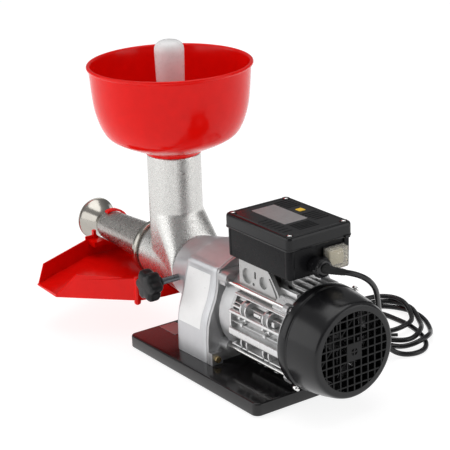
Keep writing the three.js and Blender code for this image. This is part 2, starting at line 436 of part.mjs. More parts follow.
// ---------- press body ----------
{
  const o = [0, 0, PZ];
  let s = M(rev([[0, -82.6], [36.9, -82.6], [36.9, COLLAR_X - G], [43.6, COLLAR_X - G], [43.2, -108], [41.4, -120], [39.4, -150], [38, -180],
    [37.8, -199], [36, -199.3], [36, BARREL_END], [0, BARREL_END]], 28, 'x', o));
  s = s.add(M(rod(NECK_R, PZ, NECK_TOP, 28, 'z', [NX, 0, 0])));
  const pts = [];
  for (const [x, y] of circle(NX, 0, NECK_R, 28)) pts.push([x, y, GUSSET_Z], [x, y, PZ + 6]);
  for (const [y, z] of circle(0, PZ, 43.4, 28)) if (z > PZ - 1) pts.push([COLLAR_X - G, y, z]);
  s = s.add(M(hull(pts)));
  s = s.subtract(M(rod(NECK_BORE, PZ, NECK_TOP + 1, 24, 'z', [NX, 0, 0])));
  s = s.subtract(M(rod(BARREL_BORE, BARREL_END - 1, -90, 24, 'x', o)));
  s = s.subtract(M(rod(12, -95, -80, 20, 'x', o)));
  node('press_body', s, CASTING, 0.55, 1);
}
{
  // auger: tapered core, helical flight, hexagonal socket for the output shaft
  const o = [0, 0, PZ], X0 = -94, X1 = -330, L = X1 - X0, PITCH = 34, N = 8;
  const turns = Math.abs(L) / PITCH, steps = Math.round(turns * N);
  const rad = (x) => {
    if (x > -201) return 31.7;
    const f = FIL_R0 + (FIL_R1 - FIL_R0) * (x - FIL_X0) / (FIL_X1 - FIL_X0) - FIL_T - 0.7;
    return x < -206 ? f : 31.7 + (f - 31.7) * (x + 201) / -5;
  };
  const pos = [], idx = [], core = 8;
  for (let i = 0; i <= steps; i++) {
    const x = X0 + L * i / steps, a = -TAU * turns * i / steps, r = rad(x);
    for (const [q, d] of [[core, -2.6], [r, -1.4], [r, 1.4], [core, 2.6]])
      pos.push(x + d, q * Math.cos(a), PZ + q * Math.sin(a));
  }
  for (let i = 0; i < steps; i++) for (let j = 0; j < 4; j++) {
    const a = i * 4 + j, b = i * 4 + (j + 1) % 4, c = a + 4, d = b + 4;
    idx.push(a, c, b, b, c, d);
  }
  idx.push(0, 1, 2, 0, 2, 3);
  const e = steps * 4;
  idx.push(e, e + 2, e + 1, e, e + 3, e + 2);
  const f = new THREE.BufferGeometry();
  f.setAttribute('position', new THREE.Float32BufferAttribute(pos, 3));
  f.setIndex(idx);
  let s = add(rev([[0, -83], [11.4, -83], [11.4, -91.5], [13.5, -92.5], [13.5, -200], [10.5, -332], [8, -335], [0, -335]], 12, 'x', o), f);
  s = s.subtract(M(px(circle(0, PZ, 14.7 / Math.sqrt(3), 6), -101, -82)));
  node('auger', s, 0xded9cc, 0.5);
}
node('ring_nut', rev([[29, NUT_X0], [38.6, NUT_X0], [NUT_R, NUT_X0 + 1.2], [NUT_R, NUT_X1 - 1], [38.8, NUT_X1], [36.4, NUT_X1],
  [36.4, -211], [29, -211], [29, NUT_X0]], 28, 'x', [0, 0, PZ]), STAINLESS, 0.25, 1);
{
  const k = (FIL_R1 - FIL_R0) / (FIL_X1 - FIL_X0), R = (x) => FIL_R0 + k * (x - FIL_X0);
  node('filter_cone', rev([[R(FIL_X0) - FIL_T, FIL_X0], [35.8, FIL_X0], [35.8, -210.7], [R(-210.7), -210.7], [R(FIL_X1 + 2), FIL_X1 + 2],
    [19.6, FIL_X1], [18.4, FIL_X1], [R(FIL_X1 + 2) - FIL_T, FIL_X1 + 2.4], [R(FIL_X0) - FIL_T, FIL_X0]], 24, 'x', [0, 0, PZ]), 0xa8a59f, 0.4, 1);
  node('waste_nozzle', rev([[18.2, FIL_X1 - G], [19.5, FIL_X1 - G], [18.3, -341], [19.6, -349], [23.6, -359.4], [29, -369.4],
    [30.7, -370.6], [29.8, BELL_X - 1], [27.6, -369.4], [22.2, -359.4], [18.3, -349], [17.1, -341], [18.2, FIL_X1 - G]], 24, 'x', [0, 0, PZ]), STAINLESS, 0.2, 1);
}

// ---------- juice tray ----------
{
  // floor corners [x, y, z]; the mouth is the first edge
  const fl = [[-294.6, -146, 57.4], [-243.5, -146, 55], [-149, -70, 59], [-139, -38, 59.5], [-136, -2, 59.5], [-143, 22, 60], [-330, 27, 60], [-341, 12, 60], [-340, -38, 60]];
  const grow = (d, z) => fl.map(([x, y, zz]) => {
    const cx = -235, cy = -45, l = Math.hypot(x - cx, y - cy);
    return [x + (x - cx) / l * d, y + (y - cy) / l * d, z === undefined ? zz : z];
  });
  const zt = 91, up = (p, d) => p.map(([x, y, z]) => [x, y, z + d]);
  let s = M(hull([...fl, ...grow(2.5, zt)]));
  s = s.subtract(M(hull([...up(grow(-2.3), 2.4), ...grow(0.1, zt + 1)])));
  // sloping mouth, near and far wall tops
  s = s.subtract(M(hull([[-330, -165, 59], [-200, -165, 59], [-330, -144, 59.5], [-200, -144, 59.5],
    [-330, -165, 95], [-200, -165, 95], [-330, -124, 95], [-200, -124, 95]])));
  s = s.subtract(M(hull([[-262, -165, 78], [-150, -70, 91.2], [-262, -165, 100], [-150, -70, 100], [-215, -185, 78], [-100, -85, 91.2], [-215, -185, 100], [-100, -85, 100]])));
  s = s.subtract(M(hull([[-310, -165, 82.5], [-349, -38, 86], [-310, -165, 100], [-349, -38, 100], [-270, -165, 82.5], [-300, -38, 86], [-270, -165, 100], [-300, -38, 100]])));
  // wall tops follow the barrel, nut and cone
  s = s.subtract(M(rev([[0, -90], [45, -90], [42.2, -125], [41.8, -226], [0, -226]], 24, 'x', [0, 0, PZ])));
  s = s.subtract(M(rev([[0, -225], [31, -225], [23.6, -336], [22.5, -350], [0, -350]], 24, 'x', [0, 0, PZ])));
  s = s.subtract(M(box(-230, -120, 10, 60, 73, 95)));
  s = s.subtract(M(box(-360, -225, 10, 60, 86, 95)));
  // hook plate at the cone end, strap over the cone and upright prong
  s = s.add(M(cut(box(-344, -322, -34, 24, 79, 86), rod(22.8, -350, -320, 24, 'x', [0, 0, PZ]))));
  let st = M(ring(26, 22.8, -329, -322, 24, 'x', [0, 0, PZ]));
  st = st.subtract(M(px([[0, PZ], [-17, PZ + 40], [-60, PZ + 40], [-60, 60], [-14, 60]], -335, -315)));
  s = s.add(st);
  s = s.add(M(add(box(-344, -339, -25, -20.5, 80, 98))));
  // stiffening rib with ball foot on the near wall
  s = s.add(M(rod(3.6, 58, 93, 10, 'z', [-151, -72, 0])));
  const ball = new THREE.SphereGeometry(4.8, 10, 6);
  ball.translate(-151, -72, 57.5);
  s = s.add(M(ball));
  node('juice_tray', s, RED, 0.3);
}

// ---------- hopper and pusher ----------
node('hopper', rev([[31, 224], [31, NECK_TOP + G], [37.2, NECK_TOP + G], [39, 258], [45, 260.8], [63, 268.3], [78.4, 275.8], [86.7, 281.5],
  [92, 288.9], [97, 299.7], [102.4, 319], [107.4, 371.8], [HOP_R, 374.2], [108, HOP_TOP],
  [105, 376.2], [100, 319.2], [94.7, 300.7], [89.9, 290.3], [84.9, 283.5], [77, 278.2], [34, 259.8], [28.6, 256], [28.6, 224], [31, 224]],
32, 'z', [NX, 0, 0]), RED, 0.25);
node('pusher', rev([[14.4, PUSH_BOT], [16.2, PUSH_BOT], [16.9, PUSH_BOT + 1.2], [17.4, 300], [19.8, 392], [18.6, 398.4], [14, 404],
  [7, 406.5], [0, PUSH_TOP], [0, 404.8], [12.6, 402], [17.2, 396], [17.6, 391.6], [15, 300], [14.4, PUSH_BOT]], 20, 'z', [NX, 0, 0]), 0xe8eaea, 0.35);

// ---------- clamp ----------
{
  const o = [CLX, 0, CLZ];
  node('clamp_stud', rev([[0, KNOB_Y0 + 5], [4.5, KNOB_Y0 + 5], [4.5, -38.4], [3.4, -37.3], [0, -37.3]], 14, 'y', o), 0x8f9194, 0.3, 1);
  // six-lobed knob with chamfered edges
  const lobes = (r, y) => Array.from({ length: 24 }, (_, i) => {
    const a = TAU * i / 24, q = r * (1 - 0.1 * (1 - Math.cos(6 * a)));
    return [o[0] + q * Math.cos(a), y, o[2] + q * Math.sin(a)];
  });
  let s = M(loft([lobes(KNOB_R - 5, KNOB_Y1), lobes(KNOB_R, KNOB_Y1 - 4.5), lobes(KNOB_R, KNOB_Y0 + 3.8), lobes(KNOB_R - 3.6, KNOB_Y0)], (p) => [p[0], p[2]]));
  s = s.add(M(rod(9, KNOB_Y1 - 2, KNOB_Y1 + 6, 16, 'y', o)));
  s = s.subtract(M(rod(4.8, KNOB_Y0 + 4.7, -70, 14, 'y', o)));
  node('clamp_knob', s, 0x1b1b1d, 0.6);
}

// ---------- cord ----------
{
  const r = CORD_D / 2;
  const path = new THREE.CatmullRomCurve3([
    [176.2, -9.5, 184.5], [185.5, -8.2, 185.2], [194, -1.6, 185], [201, 14, 180], [202.5, 32, 169.5], [197, 50, 151.5], [186.5, 63, 130], [176, 75, 106],
    [166, 88, 78], [157, 104, 50], [149, 122, 26], [142, 143, 10], [135, 163, 4.6], [127, 184, 4.2], [117, 202, 4.2], [110.4, 211.4, 4.2]]
    .map((p) => new THREE.Vector3(...p)), false, 'centripetal');
  const sh = new THREE.Shape(V2(circle(0, 0, r, 8, Math.PI / 8)));
  const g = new THREE.ExtrudeGeometry(sh, { steps: 26, extrudePath: path, bevelEnabled: false });
  node('power_cord_lead', g, 0x101012, 0.5);
  const b = 3;
  node('power_cord_coil', rev([[COIL_RI, b], [COIL_RI + b, 0.2], [COIL_RO - b, 0.2], [COIL_RO, b], [COIL_RO, COIL_H - b], [COIL_RO - b, COIL_H],
    [COIL_RI + b, COIL_H], [COIL_RI, b]], 20, 'z', [COIL_X, COIL_Y, 0]), 0x101012, 0.5);
}
{
  // round two-pin plug lying on the floor
  const body = rev([[0, 0], [4.6, 0], [5.2, 14], [10, 18], [17, 24], [17, 46], [15.5, 48], [0, 48]], 20, 'y');
  const pin = (dx) => rod(2.4, 47, 66, 10, 'y', [dx, 0, 0]);
  const p = geo(add(body, pin(-9.5), pin(9.5)));
  p.rotateY(0.5);
  p.rotateZ(-35.1 * Math.PI / 180);
  p.translate(66, 117, 17.3);
  node('power_plug', p, 0x141414, 0.5);
}

root.position.set(-ORIGIN_X, -ORIGIN_Y, 0);

export default root;
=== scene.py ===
import json
from math import pi, sin, cos, radians, sqrt, hypot, atan2

import bmesh
import bpy
from mathutils import Vector, Matrix

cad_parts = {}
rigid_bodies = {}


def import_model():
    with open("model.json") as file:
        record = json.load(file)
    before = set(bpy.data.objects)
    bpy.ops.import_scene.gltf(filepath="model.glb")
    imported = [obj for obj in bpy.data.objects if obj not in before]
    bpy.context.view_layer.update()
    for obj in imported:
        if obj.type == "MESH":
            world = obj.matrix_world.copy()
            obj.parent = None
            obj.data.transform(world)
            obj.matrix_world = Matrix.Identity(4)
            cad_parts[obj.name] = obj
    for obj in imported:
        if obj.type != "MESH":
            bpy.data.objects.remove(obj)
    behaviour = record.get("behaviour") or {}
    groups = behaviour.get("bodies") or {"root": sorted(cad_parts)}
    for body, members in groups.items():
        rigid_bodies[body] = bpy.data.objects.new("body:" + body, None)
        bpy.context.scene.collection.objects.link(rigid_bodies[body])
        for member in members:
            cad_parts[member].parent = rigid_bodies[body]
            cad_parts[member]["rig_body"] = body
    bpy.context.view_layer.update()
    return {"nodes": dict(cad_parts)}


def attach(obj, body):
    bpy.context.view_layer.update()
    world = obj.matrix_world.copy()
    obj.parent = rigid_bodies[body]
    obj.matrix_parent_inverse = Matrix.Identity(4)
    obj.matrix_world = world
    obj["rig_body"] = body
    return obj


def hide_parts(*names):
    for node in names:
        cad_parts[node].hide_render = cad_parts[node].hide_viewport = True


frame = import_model()
nodes = frame["nodes"]
TAU = 2 * pi
OX, OY = 77.6, 17.95           # the row frame's origin, seen from the base plate's centre, in mm
MZ, PZ = 88.3, 103.6           # heights of the motor axis and the press axis
NX = -155.4                    # neck axis


def T(p):
    return Vector(((p[0] + OX) / 1000, (p[1] + OY) / 1000, p[2] / 1000))


# ------------------------------------------------------------------ camera
def camera():
    a, e, r = radians(54.89427), radians(19.32104), radians(-1.98856)
    back = Vector((sin(a) * cos(e), -cos(a) * cos(e), sin(e)))
    right = Vector((cos(a), sin(a), 0))
    up = back.cross(right)
    R = right * cos(r) + up * sin(r)
    U = -right * sin(r) + up * cos(r)
    cam = bpy.data.cameras.new("camera")
    cam.lens, cam.sensor_width = 127.27, 36
    cam.clip_start, cam.clip_end = 0.05, 40
    o = bpy.data.objects.new("camera", cam)
    bpy.context.scene.collection.objects.link(o)
    m = Matrix((R, U, back)).transposed().to_4x4()
    m.translation = T((1554.06, -1121.91, 863.79))
    o.matrix_world = m
    bpy.context.scene.camera = o


camera()


# ------------------------------------------------------------------ materials
def material(name, color, metal=0.0, rough=0.4, var=0.06, var_scale=60, rvar=0.08, rscale=200, grain=None,
             grain2=None, coat=0.0, coat_rough=0.05, spec=0.5, trans=0.0, ior=1.46, sss=0.0, alpha=1.0,
             stretch=(1, 1, 1), speck=None):
    m = bpy.data.materials.new(name)
    m.use_nodes = True
    nt = m.node_tree
    N, L = nt.nodes, nt.links
    b = N["Principled BSDF"]
    b.inputs["Metallic"].default_value = metal
    b.inputs["Specular IOR Level"].default_value = spec
    b.inputs["Coat Weight"].default_value = coat
    b.inputs["Coat Roughness"].default_value = coat_rough
    b.inputs["Transmission Weight"].default_value = trans
    b.inputs["IOR"].default_value = ior
    b.inputs["Alpha"].default_value = alpha
    if sss:
        b.inputs["Subsurface Weight"].default_value = sss
        b.inputs["Subsurface Radius"].default_value = (0.01, 0.01, 0.01)
        b.inputs["Subsurface Scale"].default_value = 0.5
    tc = N.new("ShaderNodeTexCoord")
    mp = N.new("ShaderNodeMapping")
    mp.inputs["Scale"].default_value = stretch
    L.new(tc.outputs["Object"], mp.inputs["Vector"])

    def noise(scale, detail=3.0, rough=0.55):
        n = N.new("ShaderNodeTexNoise")
        n.inputs["Scale"].default_value = scale
        n.inputs["Detail"].default_value = detail
        n.inputs["Roughness"].default_value = rough
        L.new(mp.outputs["Vector"], n.inputs["Vector"])
        return n.outputs["Fac"]

    def ramp(fac, lo, hi, a=0.3, z=0.7):
        r = N.new("ShaderNodeMapRange")
        r.inputs["From Min"].default_value, r.inputs["From Max"].default_value = a, z
        r.inputs["To Min"].default_value, r.inputs["To Max"].default_value = lo, hi
        L.new(fac, r.inputs["Value"])
        return r.outputs["Result"]

    def mix(fac, ca, cb):
        x = N.new("ShaderNodeMix")
        x.data_type = "RGBA"
        if hasattr(fac, "default_value") and not isinstance(fac, (int, float)):
            L.new(fac, x.inputs["Factor"])
        else:
            x.inputs["Factor"].default_value = fac
        for s, c in (("A", ca), ("B", cb)):
            sock = [i for i in x.inputs if i.name == s and i.type == "RGBA"][0]
            if isinstance(c, (tuple, list)):
                sock.default_value = (*c[:3], 1)
            else:
                L.new(c, sock)
        return [o for o in x.outputs if o.type == "RGBA"][0]

    lo = [max(0, c * (1 - var)) for c in color]
    hi = [min(1, c * (1 + var)) for c in color]
    col = mix(ramp(noise(var_scale), 0, 1), lo, hi)
    if speck:
        s_scale, s_amount, s_color = speck
        col = mix(ramp(noise(s_scale, 2.0), 0, s_amount, 0.5, 0.72), col, s_color)
    L.new(col, b.inputs["Base Color"])
    L.new(ramp(noise(rscale, 4.0), max(0.02, rough - rvar), min(1, rough + rvar)), b.inputs["Roughness"])
    prev = None
    for g in (grain, grain2):
        if not g:
            continue
        scale, strength, dist = g
        bp = N.new("ShaderNodeBump")
        bp.inputs["Strength"].default_value = strength
        bp.inputs["Distance"].default_value = dist
        L.new(noise(scale, 2.0), bp.inputs["Height"])
        if prev:
            L.new(prev, bp.inputs["Normal"])
        prev = bp.outputs["Normal"]
    if prev:
        L.new(prev, b.inputs["Normal"])
    return m


RED = material("red_gloss_plastic", (0.82, 0.004, 0.002), rough=0.17, rvar=0.03, var=0.04, coat=0.03, coat_rough=0.05, spec=0.22,
               grain=(220, 0.03, 0.0005), grain2=(1400, 0.02, 0.0002))
RED_IN = RED
CAST = material("press_casting", (0.69, 0.685, 0.665), metal=0.92, rough=0.27, rvar=0.1, var=0.08, var_scale=500,
                grain=(1000, 0.55, 0.0005), grain2=(420, 0.1, 0.0006), speck=(900, 0.55, (0.32, 0.32, 0.305)))
ALU = material("gearbox_aluminium", (0.60, 0.605, 0.62), metal=0.68, rough=0.4, rvar=0.02, var=0.03, var_scale=90,
               grain=(1100, 0.02, 0.0001))
ALU_DARK = material("gearbox_aluminium_cast", (0.52, 0.52, 0.525), metal=0.85, rough=0.38, rvar=0.03, var=0.04, var_scale=150,
                    grain=(1200, 0.03, 0.0002))
MOTOR = material("motor_die_cast", (0.70, 0.70, 0.70), metal=0.9, rough=0.3, rvar=0.04, var=0.04, var_scale=200,
                 grain=(1100, 0.04, 0.0002))
# the motor casting again, darkened: painted shade for the core set back between the fins
MOTOR_PAINTED_SHADE = material("motor_cast_painted_shade", (0.42, 0.42, 0.42), metal=0.9, rough=0.4, rvar=0.05, var=0.05, var_scale=200,
                      grain=(1100, 0.06, 0.0002))
PAD = material("motor_pad_cast", (0.50, 0.50, 0.495), metal=0.7, rough=0.42, rvar=0.04, var=0.05, var_scale=200, grain=(1100, 0.06, 0.0002))
STEEL = material("bright_steel", (0.80, 0.79, 0.78), metal=1, rough=0.16, rvar=0.05, var=0.04, grain=(800, 0.05, 0.0003))
CHROME = material("polished_stainless", (0.43, 0.41, 0.37), metal=1, rough=0.2, rvar=0.03, var=0.03, var_scale=90,
                  grain=(60, 0.012, 0.0012), grain2=(900, 0.02, 0.0002))
STUD = material("stud_grey_steel", (0.20, 0.215, 0.23), metal=0.9, rough=0.3, rvar=0.04, var=0.05, grain=(700, 0.08, 0.0003))
GEAR = material("gear_steel", (0.52, 0.52, 0.53), metal=1, rough=0.3, grain=(700, 0.15, 0.0004))
ZINC = material("yellow_zinc_screw", (0.75, 0.58, 0.30), metal=1, rough=0.3, grain=(700, 0.1, 0.0003))
BASE = material("base_gloss_black", (0.009, 0.0085, 0.009), rough=0.17, rvar=0.04, var=0.2, coat=0.12, coat_rough=0.08, spec=0.4,
                grain=(300, 0.03, 0.0004))
SATIN = material("black_satin", (0.008, 0.008, 0.009), rough=0.24, rvar=0.03, var=0.15, spec=0.42, grain=(1400, 0.04, 0.0002))
GRILLE = material("black_grille", (0.007, 0.007, 0.0075), rough=0.38, rvar=0.05, var=0.15, spec=0.25, grain=(1400, 0.06, 0.0003))
BOX = material("black_moulded_box", (0.008, 0.008, 0.009), rough=0.3, rvar=0.05, var=0.15, spec=0.14, grain=(1600, 0.1, 0.0003))
LID = material("black_moulded_lid", (0.008, 0.008, 0.009), rough=0.18, rvar=0.04, var=0.15, spec=0.34, grain=(1600, 0.05, 0.0003))
GLAND = material("gland_black", (0.008, 0.008, 0.009), rough=0.16, rvar=0.04, var=0.1, spec=0.5, grain=(900, 0.05, 0.0003))
KNOB = material("knob_black", (0.008, 0.008, 0.009), rough=0.36, rvar=0.06, var=0.15, spec=0.35, grain=(1500, 0.2, 0.0003))
RUBBER = material("rubber_black", (0.012, 0.012, 0.012), rough=0.7, rvar=0.08, var=0.15, spec=0.3, grain=(1500, 0.3, 0.0004))
CORD = material("cord_pvc", (0.006, 0.006, 0.007), rough=0.24, rvar=0.06, var=0.12, spec=0.42, grain=(1200, 0.08, 0.0003))
WHITE = material("white_plastic", (0.84, 0.84, 0.82), rough=0.3, grain=(800, 0.08, 0.0003))
CREAM = material("cream_rocker", (0.86, 0.80, 0.62), rough=0.35, grain=(800, 0.08, 0.0003))
AUGER = material("auger_plastic", (0.85, 0.83, 0.76), rough=0.42, grain=(900, 0.15, 0.0004))
WIND = material("winding_copper", (0.35, 0.16, 0.07), metal=0.6, rough=0.4, grain=(500, 0.5, 0.0008), stretch=(0.2, 1, 1))
PUSH = material("pusher_translucent", (0.90, 0.89, 0.89), rough=0.3, var=0.02, sss=0.35, grain=(500, 0.05, 0.0004), coat=0.15, coat_rough=0.15)
BOOT = material("switch_boot_clear", (0.93, 0.90, 0.82), rough=0.22, var=0.02, trans=0.75, ior=1.25, grain=(400, 0.08, 0.0004), alpha=0.9)
LABEL = material("label_white", (0.90, 0.90, 0.895), rough=0.35, var=0.02, metal=0.1, grain=(900, 0.05, 0.0002))
PLATE = material("label_grey_foil", (0.42, 0.41, 0.41), metal=0.75, rough=0.42, var=0.06, var_scale=500, grain=(2000, 0.25, 0.0002))
YELLOW = material("mark_yellow", (0.85, 0.55, 0.04), rough=0.45, var=0.03, grain=(900, 0.05, 0.0002))


def perforated():
    m = bpy.data.materials.new("perforated_stainless")
    m.use_nodes = True
    nt = m.node_tree
    N, L = nt.nodes, nt.links
    b = N["Principled BSDF"]
    b.inputs["Metallic"].default_value = 1
    uv = N.new("ShaderNodeUVMap")
    uv.uv_map = "uv"
    sp = N.new("ShaderNodeSeparateXYZ")
    L.new(uv.outputs["UV"], sp.inputs["Vector"])

    def mth(op, a, b_=None, c=None):
        n = N.new("ShaderNodeMath")
        n.operation = op
        for k, v in enumerate((a, b_, c)):
            if v is None:
                continue
            if isinstance(v, (int, float)):
                n.inputs[k].default_value = v
            else:
                L.new(v, n.inputs[k])
        return n.outputs[0]
    v = mth("MULTIPLY", sp.outputs["Y"], 1000 / 1.75)
    row = mth("FLOOR", v)
    odd = mth("MODULO", row, 2.0)
    u = mth("ADD", mth("MULTIPLY", sp.outputs["X"], 76.0), mth("MULTIPLY", odd, 0.5))
    du = mth("SUBTRACT", mth("FRACT", u), 0.5)
    dv = mth("MULTIPLY", mth("SUBTRACT", mth("FRACT", v), 0.5), 0.9)
    d = mth("SQRT", mth("ADD", mth("MULTIPLY", du, du), mth("MULTIPLY", dv, dv)))
    mr = N.new("ShaderNodeMapRange")
    mr.interpolation_type = "SMOOTHSTEP"
    mr.inputs["From Min"].default_value, mr.inputs["From Max"].default_value = 0.24, 0.34
    mr.inputs["To Min"].default_value, mr.inputs["To Max"].default_value = 0, 1
    L.new(d, mr.inputs["Value"])
    tc = N.new("ShaderNodeTexCoord")
    nz = N.new("ShaderNodeTexNoise")
    nz.inputs["Scale"].default_value = 160
    L.new(tc.outputs["Object"], nz.inputs["Vector"])
    mx = N.new("ShaderNodeMix")
    mx.data_type = "RGBA"
    L.new(mr.outputs["Result"], mx.inputs["Factor"])
    A, B = [i for i in mx.inputs if i.type == "RGBA"]
    A.default_value = (0.035, 0.033, 0.03, 1)
    B.default_value = (0.62, 0.60, 0.57, 1)
    L.new([o for o in mx.outputs if o.type == "RGBA"][0], b.inputs["Base Color"])
    rr_ = N.new("ShaderNodeMapRange")
    rr_.inputs["To Min"].default_value, rr_.inputs["To Max"].default_value = 0.2, 0.36
    L.new(nz.outputs["Fac"], rr_.inputs["Value"])
    L.new(rr_.outputs["Result"], b.inputs["Roughness"])
    bp = N.new("ShaderNodeBump")
    bp.inputs["Strength"].default_value = 0.6
    bp.inputs["Distance"].default_value = 0.0005
    L.new(mr.outputs["Result"], bp.inputs["Height"])
    L.new(bp.outputs["Normal"], b.inputs["Normal"])
    return m


PERF = perforated()


# ------------------------------------------------------------------ mesh helpers (input in mm, base-plate coordinates)
def piece(name, verts, faces, mat, body, replaces=(), angle=32, bevel=0.0, seg=2, sub=0, uv=None, raw=False):
    me = bpy.data.meshes.new(name)
    me.from_pydata([v if raw else T(v) for v in verts], [], faces)
    if uv:
        lay = me.uv_layers.new(name="uv")
        for poly in me.polygons:
            for li in poly.loop_indices:
                lay.data[li].uv = uv(poly, me.loops[li].vertex_index)
    bm = bmesh.new()
    bm.from_mesh(me)
    bmesh.ops.recalc_face_normals(bm, faces=bm.faces)
    bm.to_mesh(me)
    bm.free()
    o = bpy.data.objects.new(name, me)
    bpy.context.scene.collection.objects.link(o)
    me.materials.append(mat)
    finish_piece(o, body, replaces, angle, bevel, seg, sub)
    return o


def finish_piece(o, body, replaces=(), angle=32, bevel=0.0, seg=2, sub=0):
    me = o.data
    for p in me.polygons:
        p.use_smooth = True
    if bevel:
        md = o.modifiers.new("bevel", "BEVEL")
        md.width, md.segments, md.limit_method, md.angle_limit = bevel / 1000, seg, "ANGLE", radians(angle)
        md.harden_normals = True
        md.use_clamp_overlap = True
    if sub:
        md = o.modifiers.new("sub", "SUBSURF")
        md.levels = md.render_levels = sub
    if angle and not sub:
        me.set_sharp_from_angle(angle=radians(angle if not bevel else 40))
    if body:
        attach(o, body)
    if replaces:
        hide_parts(*replaces)


def join(name, parts, mat, body, replaces=(), angle=32, bevel=0.0, seg=2, sub=0, raw=False):
    V, F = [], []
    for v, f in parts:
        k = len(V)
        V += list(v)
        F += [[i + k for i in q] for q in f]
    return piece(name, V, F, mat, body, replaces, angle, bevel, seg, sub, raw=raw)


def lathe(profile, n, axis, o=(0, 0, 0)):
    """closed or open profile of (radius, distance along axis)"""
    V, F, ring = [], [], []
    for r, h in profile:
        if r < 1e-6:
            ring.append([len(V)])
            V.append(place(0, 0, h, axis, o))
        else:
            ring.append(list(range(len(V), len(V) + n)))
            V += [place(r * cos(TAU * i / n), r * sin(TAU * i / n), h, axis, o) for i in range(n)]
    for a, b in zip(ring, ring[1:]):
        for i in range(n):
            j = (i + 1) % n
            q = [a[i % len(a)], a[j % len(a)], b[j % len(b)], b[i % len(b)]]
            q = [x for k, x in enumerate(q) if x not in q[:k]]
            if len(q) > 2:
                F.append(q)
    return V, F


def place(u, v, h, axis, o):
    if axis == "x":
        return (o[0] + h, o[1] + u, o[2] + v)
    if axis == "y":
        return (o[0] + u, o[1] + h, o[2] + v)
    return (o[0] + u, o[1] + v, o[2] + h)


def close(p):
    return list(p) + [p[0]]


def arc(cx, cy, r, a0, a1, n):
    return [(cx + r * cos(radians(a0 + (a1 - a0) * i / n)), cy + r * sin(radians(a0 + (a1 - a0) * i / n))) for i in range(n + 1)]


def rr(x0, x1, y0, y1, r, n=5):
    p = []
    for cx, cy, a in ((x1 - r, y0 + r, -90), (x1 - r, y1 - r, 0), (x0 + r, y1 - r, 90), (x0 + r, y0 + r, 180)):
        for i in range(n + 1):
            t = radians(a + 90 * i / n)
            p.append((cx + r * cos(t), cy + r * sin(t)))
    return p


def stack(loops, cap0=True, cap1=True):
    """skin of equal-count closed loops"""
    V, F, n = [], [], len(loops[0])
    for lp in loops:
        V += lp
    for k in range(len(loops) - 1):
        for i in range(n):
            j = (i + 1) % n
            F.append([k * n + i, k * n + j, k * n + n + j, k * n + n + i])
    if cap0:
        F.append(list(range(n))[::-1])
    if cap1:
        F.append([(len(loops) - 1) * n + i for i in range(n)])
    return V, F


def sweep(x0, x1, y0, y1, r, profile, n=6, cap0=True, cap1=True):
    """profile of (inset, z) carried round a rounded rectangle"""
    return stack([[(x, y, z) for x, y in rr(x0 + d, x1 - d, y0 + d, y1 - d, max(0.4, r - d), n)] for d, z in profile], cap0, cap1)


def boxm(x0, x1, y0, y1, z0, z1):
    V = [(x, y, z) for z in (z0, z1) for y in (y0, y1) for x in (x0, x1)]
    return V, [[0, 2, 3, 1], [4, 5, 7, 6], [0, 1, 5, 4], [2, 6, 7, 3], [0, 4, 6, 2], [1, 3, 7, 5]]


def prism(pts, a, b, axis):
    """pts (u, v): axis x -> (y, z), y -> (x, z), z -> (x, y)"""
    def P(p, h):
        return (h, p[0], p[1]) if axis == "x" else (p[0], h, p[1]) if axis == "y" else (p[0], p[1], h)
    return stack([[P(p, a) for p in pts], [P(p, b) for p in pts]])


def hull(pts):
    bm = bmesh.new()
    vs = [bm.verts.new(p) for p in pts]
    r = bmesh.ops.convex_hull(bm, input=vs)
    bmesh.ops.delete(bm, geom=list({g for g in r["geom_interior"] + r["geom_unused"] if isinstance(g, bmesh.types.BMVert)}), context="VERTS")
    bmesh.ops.dissolve_limit(bm, angle_limit=radians(0.5), verts=bm.verts, edges=bm.edges)
    bm.verts.index_update()
    V = [tuple(v.co) for v in bm.verts]
    F = [[v.index for v in f.verts] for f in bm.faces]
    bm.free()
    return V, F


def circle(c1, c2, r, n, a0=0.0):
    return [(c1 + r * cos(a0 + TAU * i / n), c2 + r * sin(a0 + TAU * i / n)) for i in range(n)]


def moved(part, m):
    return [tuple(m @ Vector(v)) for v in part[0]], part[1]


def refine(node, mat, bevel=0.35, angle=34, seg=2, name=None):
    """the CAD node's own shape, cleaned up, with its edges rounded and smooth shading"""
    src = nodes[node]
    me = src.data.copy()
    me.name = name or node + "_surface"
    me.materials.clear()
    me.materials.append(mat)
    bm = bmesh.new()
    bm.from_mesh(me)
    bmesh.ops.remove_doubles(bm, verts=bm.verts, dist=2e-6)
    bmesh.ops.dissolve_limit(bm, angle_limit=radians(1.0), verts=bm.verts, edges=bm.edges)
    bmesh.ops.recalc_face_normals(bm, faces=bm.faces)
    bm.to_mesh(me)
    bm.free()
    for a in [a.name for a in me.attributes if a.name in ("custom_normal", "sharp_face")]:
        me.attributes.remove(me.attributes[a])
    o = bpy.data.objects.new(me.name, me)
    bpy.context.scene.collection.objects.link(o)
    body = src["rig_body"]
    finish_piece(o, body, (node,), angle, bevel, seg)
    return o


def paint(node, mat):
    o = nodes[node]
    o.data.materials.clear()
    o.data.materials.append(mat)


